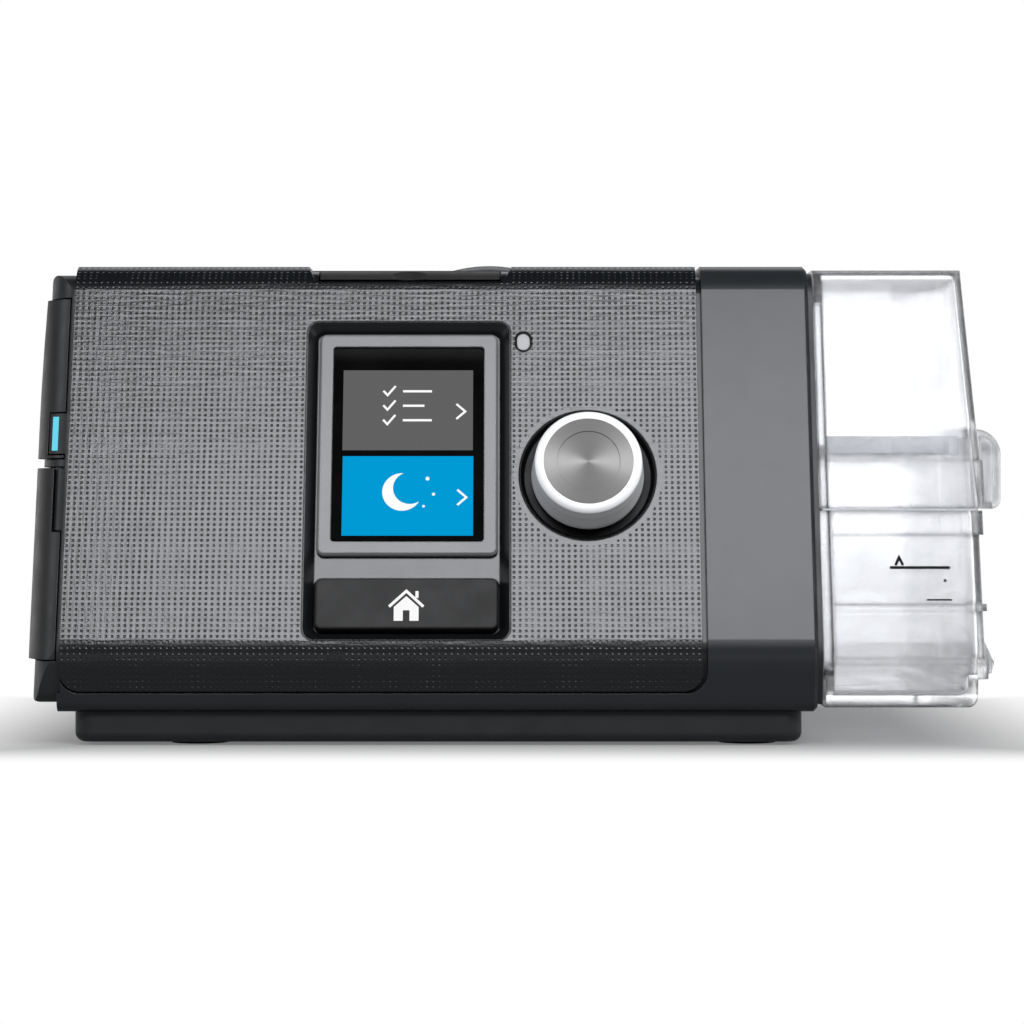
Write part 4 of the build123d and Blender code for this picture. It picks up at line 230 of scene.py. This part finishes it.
def unrolled(t, point):
    """Length along the fascia's outline, from the chin over the sloped front and back over the top."""
    up = t.dot(point, tuple(UPWARD))
    low, high = CHIN_CENTRE.dot(UPWARD), TOP_CENTRE.dot(UPWARD)
    length = t.math("MINIMUM", t.math("MAXIMUM", up, low), high)
    bends = ((TOP_CENTRE, UPWARD, TOP_ALONG, TOP_NORMAL, TOP_R, "ADD"),
             (CHIN_CENTRE, -UPWARD, CHIN_ALONG, CHIN_NORMAL, CHIN_R, "SUBTRACT"))
    for centre, along, past, normal, radius, sign in bends:
        arm = t.minus(point, tuple(centre))
        angle = t.math("ARCTAN2", t.dot(arm, tuple(along)), t.dot(arm, tuple(OUTWARD)))
        angle = t.math("MINIMUM", t.math("MAXIMUM", angle, 0.0), OUTWARD.angle(normal))
        run = t.math("MAXIMUM", t.dot(arm, tuple(past)), 0.0)
        part = t.math("ADD", t.math("MULTIPLY", angle, radius), run)
        length = t.math(sign, length, part)
    return length


def dimpled(t, base, normal, rough):
    """Woven face with a square grid of small matt dimples, painted darker inside as shade in their
    hollows, and a plain rim round its openings.
    """
    point = t.place()
    x = t.axes(point)[0]
    length = unrolled(t, point)
    grid = t.add("CombineXYZ", {0: x, 1: length}).outputs[0]
    pitch = (DIMPLE_PITCH[0] * MM, DIMPLE_PITCH[1] * MM, 1.0)
    cell = t.add("VectorMath", {0: grid, 1: pitch}, operation="DIVIDE").outputs[0]
    cell = t.add("VectorMath", {0: cell}, operation="FRACTION").outputs[0]
    cell = t.minus(cell, (0.5, 0.5, 0.0))
    cell = t.add("VectorMath", {0: cell, 1: pitch}, operation="MULTIPLY").outputs[0]
    away = t.length(cell)
    core, fade = (DIMPLE_R * MM * share for share in DIMPLE_FADE)
    dimple = t.ramp(away, core, fade, 1.0, 0.0)
    up = t.dot(t.minus(point, tuple(FACE_ORIGIN)), tuple(UPWARD))
    x0, x1, u0, u1 = (value * MM for value in RECESS)
    from_recess = t.math("MAXIMUM", t.beside(x, x0, x1), t.beside(up, u0, u1))
    from_dial = t.length(t.minus(point, tuple(DIAL_AXIS)))
    dial_edge, scoop_half, soft = (WELL_R + WELL_RIM) * MM, SCOOP_HALF * MM, BORDER_SOFT * MM
    scoop_side = t.beside(x, SCREEN_X * MM - scoop_half, SCREEN_X * MM + scoop_half)
    from_scoop = t.math("MAXIMUM", scoop_side, t.math("SUBTRACT", SCOOP_Z * MM, t.axes(point)[2]))
    for far, edge in ((from_recess, RECESS_RIM * MM), (from_dial, dial_edge), (from_scoop, 0.0)):
        dimple = t.math("MULTIPLY", dimple, t.ramp(far, edge - soft, edge + soft))
    stripes = t.noise(WEAVE_BAND * MM, 2.0, t.add("CombineXYZ", {0: x, 1: 0.0}).outputs[0])
    rows = t.noise(WEAVE_BAND * MM, 2.0, t.add("CombineXYZ", {0: 0.3, 1: length}).outputs[0])
    weave = t.ramp(t.math("ADD", stripes, rows), 0.75, 1.2, 0.30, 1.25)
    depth = t.math("MULTIPLY", dimple, weave)
    # Painted shade: each dimple's colour is darkened towards near black, as shade in its hollow.
    base = t.mix(t.math("MULTIPLY", depth, 0.8, True), base, grey(0.004))
    rough = t.math("ADD", rough, t.math("MULTIPLY", depth, DIMPLE_MATT))
    across = t.add("CombineXYZ", {0: t.math("MULTIPLY", x, THREAD_STRETCH), 1: length}).outputs[0]
    along = t.add("CombineXYZ", {0: x, 1: t.math("MULTIPLY", length, THREAD_STRETCH)}).outputs[0]
    threads = t.math("ADD", t.noise(THREAD * MM, 2.0, across), t.noise(THREAD * MM, 2.0, along))
    height = t.math("SUBTRACT", t.math("MULTIPLY", threads, THREAD_DEPTH), depth)
    return base, t.bump(height, DIMPLE_DEPTH * MM, normal), rough


def metal(name, colour, roughness, spun_about=None, anisotropy=0.0, edge=0.2 * MM, metallic=1.0):
    """Turned or brushed metal. Spun metal has fine rings round an axis on the sloped face."""
    material = bpy.data.materials.new(name)
    t = Tree(material)
    normal = t.soft_edge(edge)
    inputs = {"Metallic": metallic, "Roughness": roughness}
    if spun_about:
        arm = t.minus(t.place(), tuple(spun_about))
        around = t.cross(arm, tuple(OUTWARD))
        ring = t.length(around)
        rings = t.noise(0.16 * MM, 3.0, t.add("CombineXYZ", {0: ring}).outputs[0], 0.7)
        normal = t.bump(rings, 0.0025 * MM, normal)
        inputs["Tangent"] = t.cross(tuple(OUTWARD), around)
        inputs["Anisotropic"] = anisotropy
        streak = t.ramp(rings, 0.3, 0.7)
    else:
        streak = t.noise(0.4 * MM, 4.0)
    inputs["Base Color"] = t.mix(streak, shade(colour, 0.9), shade(colour, 1.08))
    inputs["Normal"] = normal
    t.finish(t.add("BsdfPrincipled", inputs).outputs[0])
    return material


def clear_plastic(name, colour, transmission, roughness, edge=0.5 * MM):
    """Clear moulding that is a little milky, unevenly frosted, painted darker along its edges and where
    its walls are seen edge-on, as painted shade, and lets lamps through."""
    material = bpy.data.materials.new(name)
    t = Tree(material)
    frost = t.ramp(t.noise(12 * MM, 3.0), 0.35, 0.7, roughness * 0.6, roughness * 1.5)
    rounded = t.soft_edge(edge)
    rim = t.along_edges(rounded)
    normal = t.bump(t.noise(3 * MM, 2.0), 0.01 * MM, rounded)
    tint = t.mix(t.ramp(t.noise(16 * MM, 2.0), 0.3, 0.7), shade(colour, 0.95), shade(colour, 1.02))
    # Painted shade: the colour darkens along sharp edges and where walls are seen edge-on, standing in
    # for the grey lines that refraction and reflection give there.
    facing = t.add("LayerWeight", {"Blend": 0.5, "Normal": rounded}).outputs["Facing"]
    painted_edge_shade = t.math("MAXIMUM", t.math("MULTIPLY", rim, 0.8), t.ramp(facing, 0.50, 0.95, 0.0, 0.7))
    tint = t.mix(painted_edge_shade, tint, shade(colour, 0.68))
    inputs = {"Base Color": tint, "Roughness": frost, "Normal": normal, "IOR": 1.22,
              "Transmission Weight": transmission}
    glass = t.add("BsdfPrincipled", inputs).outputs[0]
    lamp = t.add("BsdfTransparent", {"Color": shade(colour, 0.93)}).outputs[0]
    ray = t.add("LightPath").outputs["Is Shadow Ray"]
    t.finish(t.add("MixShader", {0: ray, 1: glass, 2: lamp}).outputs[0])
    return material


def lit(name, colour):
    """Backlit surface behind a dull cover."""
    material = bpy.data.materials.new(name)
    t = Tree(material)
    fine = t.ramp(t.noise(0.25 * MM, 1.0), 0.2, 0.8)
    tint = t.mix(fine, shade(colour, 0.97), shade(colour, 1.03))
    inputs = {"Base Color": shade(colour, 0.05), "Emission Color": tint, "Emission Strength": 1.0,
              "Roughness": 0.4, "Specular IOR Level": 0.0}
    t.finish(t.add("BsdfPrincipled", inputs).outputs[0])
    return material


def glossy(name, colour, roughness, specular):
    """Polished plastic or painted glass with faint smears in its gloss."""
    material = bpy.data.materials.new(name)
    t = Tree(material)
    smear = t.ramp(t.noise(8 * MM, 4.0), 0.3, 0.8, roughness * 0.8, roughness * 1.5)
    tone = t.mix(t.noise(20 * MM, 2.0), shade(colour, 0.9), shade(colour, 1.1))
    inputs = {"Base Color": tone, "Roughness": smear, "Specular IOR Level": specular,
              "Normal": t.soft_edge(0.2 * MM)}
    t.finish(t.add("BsdfPrincipled", inputs).outputs[0])
    return material


def screen_cover(name):
    """Dull black cover glass, painted lighter towards its top edge as a painted reflection."""
    material = bpy.data.materials.new(name)
    t = Tree(material)
    up = t.dot(t.minus(t.place(), tuple(FACE_ORIGIN)), tuple(UPWARD))
    low, high = (value * MM for value in GLASS_PAINTED_SHEEN)
    smear = t.ramp(t.noise(8 * MM, 4.0), 0.3, 0.8, 0.25, 0.45)
    # Painted reflection: the colour runs from black up to a lighter grey towards the glass's top.
    tone = t.mix(t.ramp(up, low, high), grey(0.0008), grey(0.012))
    inputs = {"Base Color": tone, "Roughness": smear, "Specular IOR Level": 0.006}
    t.finish(t.add("BsdfPrincipled", inputs).outputs[0])
    return material


def porous(name, colour, cell, depth):
    """Foam or fibre pad: open cells whose hollows are painted darker, as painted shade."""
    material = bpy.data.materials.new(name)
    t = Tree(material)
    cells = t.add("TexVoronoi", {"Vector": t.place(), "Scale": 1 / cell}).outputs["Distance"]
    # Painted shade: the colour darkens in each cell's hollow.
    tone = t.mix(t.ramp(cells, 0.1, 0.7), shade(colour, 0.45), shade(colour, 1.1))
    inputs = {"Base Color": tone, "Roughness": 0.95, "Normal": t.bump(cells, depth)}
    t.finish(t.add("BsdfPrincipled", inputs).outputs[0])
    return material


def board(name):
    """Circuit board: green mask with copper tracks showing through."""
    material = bpy.data.materials.new(name)
    t = Tree(material)
    tracks = t.add("TexBrick", {"Vector": t.place(), "Scale": 420.0, "Mortar Size": 0.03}).outputs["Fac"]
    tone = t.mix(tracks, (0.012, 0.09, 0.04, 1), (0.03, 0.2, 0.09, 1))
    inputs = {"Base Color": tone, "Roughness": 0.3, "Normal": t.bump(tracks, 0.02 * MM)}
    t.finish(t.add("BsdfPrincipled", inputs).outputs[0])
    return material


def make_finishes():
    """The finish of each material slot in the record."""
    return {
        "fascia_grey": moulded("fascia_dimpled", grey(0.006, 0.40), 0.22, pattern=dimpled, mottle=0.05,
                               uneven=0.008, gloss=0.44),
        "case_graphite": moulded("case_satin", grey(0.017, 0.26), 0.26, mottle=0.05, uneven=0.008,
                                 gloss=0.29),
        "chassis_dark": moulded("chassis_matt", grey(0.011, 0.28), 0.45, gloss=0.4, grain=0.5 * MM,
                                grain_depth=0.02 * MM),
        "door_black": moulded("door_matt", grey(0.013, 0.05), 0.42, gloss=0.4),
        "recess_black": moulded("recess_satin", grey(0.006, 0.25), 0.25, edge=0.4 * MM, uneven=0.008,
                                gloss=0.42),
        "button_grey": moulded("button_soft", grey(0.022, -0.02), 0.50, edge=0.5 * MM, gloss=0.17),
        "bezel_silver": moulded("bezel_satin", grey(0.16, 0.04), 0.24, edge=0.35 * MM, mottle=0.03,
                                uneven=0.008, gloss=0.25),
        "screen_black": screen_cover("screen_glass_painted_sheen"),
        "lcd": glossy("lcd_dark", grey(0.01), 0.3, 0.1),
        "board_green": board("board_mask"),
        "chip_black": moulded("chip_epoxy", grey(0.015), 0.55),
        "dial_metal": metal("dial_turned", grey(1.0), 0.25, DIAL_AXIS, 0.2, 0.9 * MM, 0.05),
        "dial_face": metal("dial_spun", grey(0.155, -0.05), 0.46, DIAL_AXIS, 1.0, metallic=0.9),
        "steel": metal("steel_turned", grey(0.52, 0.02), 0.32),
        "contact_brass": metal("contact_plated", (0.75, 0.56, 0.25, 1), 0.25),
        "sensor_white": glossy("sensor_clear", grey(0.38), 0.12, 0.10),
        "led_blue": lit("led_window", (0.14, 0.66, 0.82, 1)),
        "tub_clear": clear_plastic("tub_polycarbonate", (0.79, 0.795, 0.81, 1), 0.95, 0.14, 1.3 * MM),
        "insert_grey": clear_plastic("insert_translucent", (0.22, 0.225, 0.235, 1), 0.30, 0.25),
        "seal_grey": moulded("seal_silicone", grey(0.42, 0.04), 0.55),
        "foam_grey": porous("foam_open", grey(0.10), 1.6 * MM, 0.3 * MM),
        "rubber_black": moulded("rubber_matt", grey(0.018), 0.75, grain_depth=0.02 * MM),
        "heater_alu": metal("heater_plain", grey(0.62), 0.38),
        "filter_white": porous("filter_fibre", grey(0.72), 0.5 * MM, 0.1 * MM),
        "housing_white": moulded("housing_nylon", grey(0.62, -0.02), 0.5),
        "magnet_dark": moulded("magnet_coated", grey(0.05), 0.35, Metallic=0.6),
        "copper": metal("winding_enamel", (0.55, 0.22, 0.09, 1), 0.3),
        "card_blue": moulded("card_shell", (0.02, 0.05, 0.17, 1), 0.4),
    }


def dress_frame(finishes):
    """Gives each CAD node the finish of its slot, and a deeper black to two rings."""
    deep = moulded("ring_gloss_black", grey(0.004, 0.1), 0.30, gloss=0.08)
    for part in frame["record"]["subparts"]:
        node = frame["nodes"][part["node"]]
        finish = deep if part["node"] in DEEP_BLACK else finishes[part["material_slot"]]
        for holder in node.material_slots:
            holder.material = finish


# ================================================================ printed marks
def on_face(x, u, depth):
    """The place of a point on the sloped front, from millimetres."""
    return FACE_ORIGIN + Vector((x, 0, 0)) * MM + UPWARD * (u * MM) - OUTWARD * (depth * MM)


def stroke(points, width):
    """Quads along a line of points, mitred at the corners."""
    line = [Vector(point) for point in points]
    ways = [(after - before).normalized() for before, after in zip(line, line[1:])]
    sides = []
    for point, arriving, leaving in zip(line, ways[:1] + ways, ways + ways[-1:]):
        across = Vector((-arriving.y - leaving.y, arriving.x + leaving.x))
        across *= width / 2 / (1 + arriving.dot(leaving))
        sides.append((point - across, point + across))
    return [[a[0], b[0], b[1], a[1]] for a, b in zip(sides, sides[1:])]


def arc(x, u, radius, start, stop, steps):
    """Points along part of a circle, between two angles in degrees."""
    turns = [math.radians(start + (stop - start) * i / steps) for i in range(steps + 1)]
    return [Vector((x + radius * math.cos(turn), u + radius * math.sin(turn))) for turn in turns]


def round_dot(x, u, radius):
    return arc(x, u, radius, 0, 360 - 360 / DOT_SIDES, DOT_SIDES - 1)


def crescent(x, u, radius, bite, shift, turn):
    """Outline of a disc with a smaller disc bitten out of it, in the direction of turn in degrees."""
    cross = (radius ** 2 - bite ** 2 + shift ** 2) / (2 * shift)
    half = math.sqrt(radius ** 2 - cross ** 2)
    outer = math.degrees(math.atan2(half, cross))
    inner = math.degrees(math.atan2(half, cross - shift))
    way = Vector((math.cos(math.radians(turn)), math.sin(math.radians(turn)))) * shift
    back = arc(x, u, radius, turn + outer, turn + 360 - outer, 30)
    return back + arc(x + way.x, u + way.y, bite, turn + 360 - inner, turn + inner, 24)[1:-1]


def oblong(x0, x1, u0, u1):
    return [Vector((x0, u0)), Vector((x1, u0)), Vector((x1, u1)), Vector((x0, u1))]


def printed(name, outlines, depth, material, body):
    """Thin flat mark on the sloped front made of closed outlines, standing just proud of it."""
    mesh = bpy.data.meshes.new(name)
    bm = bmesh.new()
    for outline in outlines:
        corners = [bm.verts.new(on_face(p.x, p.y, depth - PRINT / 2)) for p in outline]
        bm.faces.new(corners).normal_update()
    bmesh.ops.triangulate(bm, faces=bm.faces[:], ngon_method="EAR_CLIP")
    made = bmesh.ops.extrude_face_region(bm, geom=bm.faces[:])
    moved = [item for item in made["geom"] if isinstance(item, bmesh.types.BMVert)]
    bmesh.ops.translate(bm, verts=moved, vec=OUTWARD * (PRINT / 2 * MM))
    bmesh.ops.recalc_face_normals(bm, faces=bm.faces[:])
    bm.to_mesh(mesh)
    bm.free()
    piece = bpy.data.objects.new(name, mesh)
    bpy.context.scene.collection.objects.link(piece)
    mesh.materials.append(material)
    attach(piece, body)


def screen_picture():
    """Two tiles on the dark glass, each with its own plain symbols and an arrow."""
    white = lit("symbol_white", grey(0.95))
    tile_grey = lit("tile_grey", grey(0.114))
    tile_blue = lit("tile_blue", (0.0, 0.305, 0.624, 1))
    printed("screen_tile_grey", [oblong(*GREY_TILE)], GLASS_DEPTH, tile_grey, "machine")
    printed("screen_tile_blue", [oblong(*BLUE_TILE)], GLASS_DEPTH, tile_blue, "machine")
    depth = GLASS_DEPTH - PRINT / 2
    for label, x, u in (("upper", -12.0, 52.1), ("lower", -11.7, 32.7)):
        arrow = stroke([(x - 0.95, u + 1.7), (x + 0.95, u), (x - 0.95, u - 1.7)], SYMBOL_LINE)
        printed(f"screen_arrow_{label}", arrow, depth, white, "machine")
    rows = []
    for u, reach in ((56.7, 6.2), (53.4, 4.6), (50.1, 6.2)):
        rows += stroke([(-28.6, u + 0.1), (-27.7, u - 0.9), (-26.0, u + 1.2)], SYMBOL_LINE)
        rows += stroke([(-24.4, u), (-24.4 + reach, u)], LIST_LINE)
    printed("screen_list", rows, depth, white, "machine")
    night = [crescent(-24.4, 33.9, 4.2, 3.6, 1.9, 28)]
    night += [round_dot(-19.0, 36.9, 0.42), round_dot(-17.7, 33.4, 0.34), round_dot(-19.8, 30.7, 0.28)]
    printed("screen_moon", night, depth, white, "machine")


def home_symbol():
    """House on the home button: roof line, chimney, and walls with a door gap."""
    # Painted light: the printed house mark gets the backlit finish, so it glows white whatever light
    # falls on it.
    ink = lit("glowing_ink_white", grey(0.90))
    x = SCREEN_X
    roof = stroke([(x - 3.6, 8.1), (x, 11.5), (x + 3.6, 8.1)], MARK_LINE)
    chimney = [oblong(x + 1.9, x + 2.55, 10.0, 11.5)]
    corners = ((-2.6, 5.0), (-0.7, 5.0), (-0.7, 7.3), (0.7, 7.3), (0.7, 5.0), (2.6, 5.0), (2.6, 8.0),
               (0.0, 10.4), (-2.6, 8.0))
    walls = [[Vector((x + side, u)) for side, u in corners]]
    printed("home_symbol", roof + chimney + walls, BUTTON_DEPTH, ink, "home_key")


def fill_marks():
    """Fill level on the tub's front: a long line with a pointer, and shorter marks below it."""
    ink = moulded("ink_black", grey(0.006), 0.6, edge=0.02 * MM, gloss=0.1)
    marks = [oblong(78.5, 91.1, 16.65, 17.3), oblong(86.0, 91.3, 9.7, 10.05), round_dot(90.0, 14.1, 0.3)]
    marks += stroke([(79.7, 17.5), (80.5, 19.2), (81.3, 17.5)], MARK_LINE)
    printed("fill_marks", marks, TUB_PANEL_DEPTH, ink, "water_tub")


# ================================================================ studio
def make_floor():
    """Floor that shows white to the eye, through clear parts and in gloss, except near the object, where
    it is painted darker as a shadow round the machine's footprint; its paper also keeps the shadows the
    lamps cast there. Matt surfaces only get what its paper gives back."""
    mesh = bpy.data.meshes.new("floor")
    half = FLOOR_HALF
    corners = [(-half, -half, 0), (half, -half, 0), (half, half, 0), (-half, half, 0)]
    mesh.from_pydata(corners, [], [(0, 1, 2, 3)])
    floor = bpy.data.objects.new("floor", mesh)
    floor.location.z = FLOOR_Z
    bpy.context.scene.collection.objects.link(floor)
    material = bpy.data.materials.new("floor_white_painted_shadow")
    t = Tree(material)
    paper = t.add("BsdfDiffuse", {"Color": grey(FLOOR_PAPER)}).outputs[0]
    white = t.add("Emission", {"Color": grey(1.0), "Strength": 1.0}).outputs[0]
    x, y = t.axes(t.place())[:2]
    half_x, half_y = FOOTPRINT
    away = t.math("MAXIMUM", t.beside(x, -half_x, half_x), t.beside(y, -half_y, half_y))
    # Painted shadow: near the footprint less of the white shows to the eye and through clear parts, so
    # the dim paper makes the floor darker there even where no shadow falls.
    near = t.ramp(away, -0.01, 0.05, 0.17, 1.0)
    # Painted shade in gloss: glossy surfaces see the floor near the object darker still, which darkens
    # the floor's reflection in the machine's lower front.
    far = t.ramp(away, 0.08, 0.40, 0.05, 1.0)
    paths = t.add("LightPath").outputs
    seen = t.math("MULTIPLY", t.math("ADD", paths["Is Camera Ray"], paths["Is Transmission Ray"]), near)
    mirrored = t.math("MULTIPLY", paths["Is Glossy Ray"], far)
    share = t.math("ADD", seen, mirrored, True)
    t.finish(t.add("MixShader", {0: share, 1: paper, 2: white}).outputs[0])
    mesh.materials.append(material)


def make_world():
    """White background for the eye and through clear parts, and for gloss a white horizon under a
    dim room."""
    world = bpy.data.worlds.new("studio")
    bpy.context.scene.world = world
    t = Tree(world)
    x, y, z = t.axes(t.add("TexCoord").outputs["Generated"])[:3]
    horizon = t.math("MULTIPLY", t.ramp(t.math("ABSOLUTE", z), 0.06, 0.22, 1.0, 0.0),
                     t.ramp(y, -0.5, 0.0, 0.45, 1.0))
    room = t.ramp(y, 0.55, 0.95, 0.02, 0.30)
    gloss = t.math("MAXIMUM", horizon, room)
    clear = t.ramp(t.math("ABSOLUTE", y), 0.25, 0.75, 0.45, 1.0)
    paths = t.add("LightPath").outputs
    parts = ((paths["Is Camera Ray"], 1.0), (paths["Is Transmission Ray"], clear),
             (paths["Is Glossy Ray"], gloss), (paths["Is Diffuse Ray"], ROOM_LIGHT))
    strength = 0.0
    for path, level in parts:
        strength = t.math("ADD", strength, t.math("MULTIPLY", path, level))
    t.finish(t.add("Background", {"Color": grey(1.0), "Strength": strength}).outputs[0])


def softbox(name, azimuth, elevation, distance, size, radiance):
    """Rectangular lamp that points at the machine. Azimuth 0 is in front of it, 90 on its right."""
    data = bpy.data.lights.new(name, "AREA")
    data.shape = "RECTANGLE"
    data.size, data.size_y = size
    data.energy = radiance * math.pi * size[0] * size[1]
    around, up = math.radians(azimuth), math.radians(elevation)
    way = Vector((math.sin(around) * math.cos(up), -math.cos(around) * math.cos(up), math.sin(up)))
    data.color = COOL_LAMP
    lamp = bpy.data.objects.new(name, data)
    lamp.location = LAMPS_AIM + way * distance
    lamp.rotation_euler = way.to_track_quat("Z", "Y").to_euler()
    bpy.context.scene.collection.objects.link(lamp)


def make_lights():
    """A large softbox in front and above, weaker ones at the sides, and one behind."""
    softbox("key", azimuth=10, elevation=36.5, distance=1.1, size=(0.95, 0.31), radiance=13.0)
    softbox("right", azimuth=75, elevation=30, distance=1.2, size=(0.5, 0.7), radiance=3.4)
    softbox("left", azimuth=-75, elevation=30, distance=1.2, size=(0.5, 0.7), radiance=3.0)
    softbox("back", azimuth=180, elevation=42, distance=1.2, size=(1.2, 0.5), radiance=1.1)


def make_camera():
    data = bpy.data.cameras.new("camera")
    data.sensor_width = SENSOR
    data.lens = FOCAL_PIXELS / PHOTO_WIDTH * SENSOR
    data.clip_start = 0.05
    camera = bpy.data.objects.new("camera", data)
    camera.location = CAMERA_AT
    camera.rotation_euler = (math.pi / 2, 0, 0)
    bpy.context.scene.collection.objects.link(camera)
    bpy.context.scene.camera = camera


make_camera()
make_world()
make_lights()
make_floor()
dress_frame(make_finishes())
screen_picture()
home_symbol()
fill_marks()
bpy.context.scene.view_settings.view_transform = "Standard"
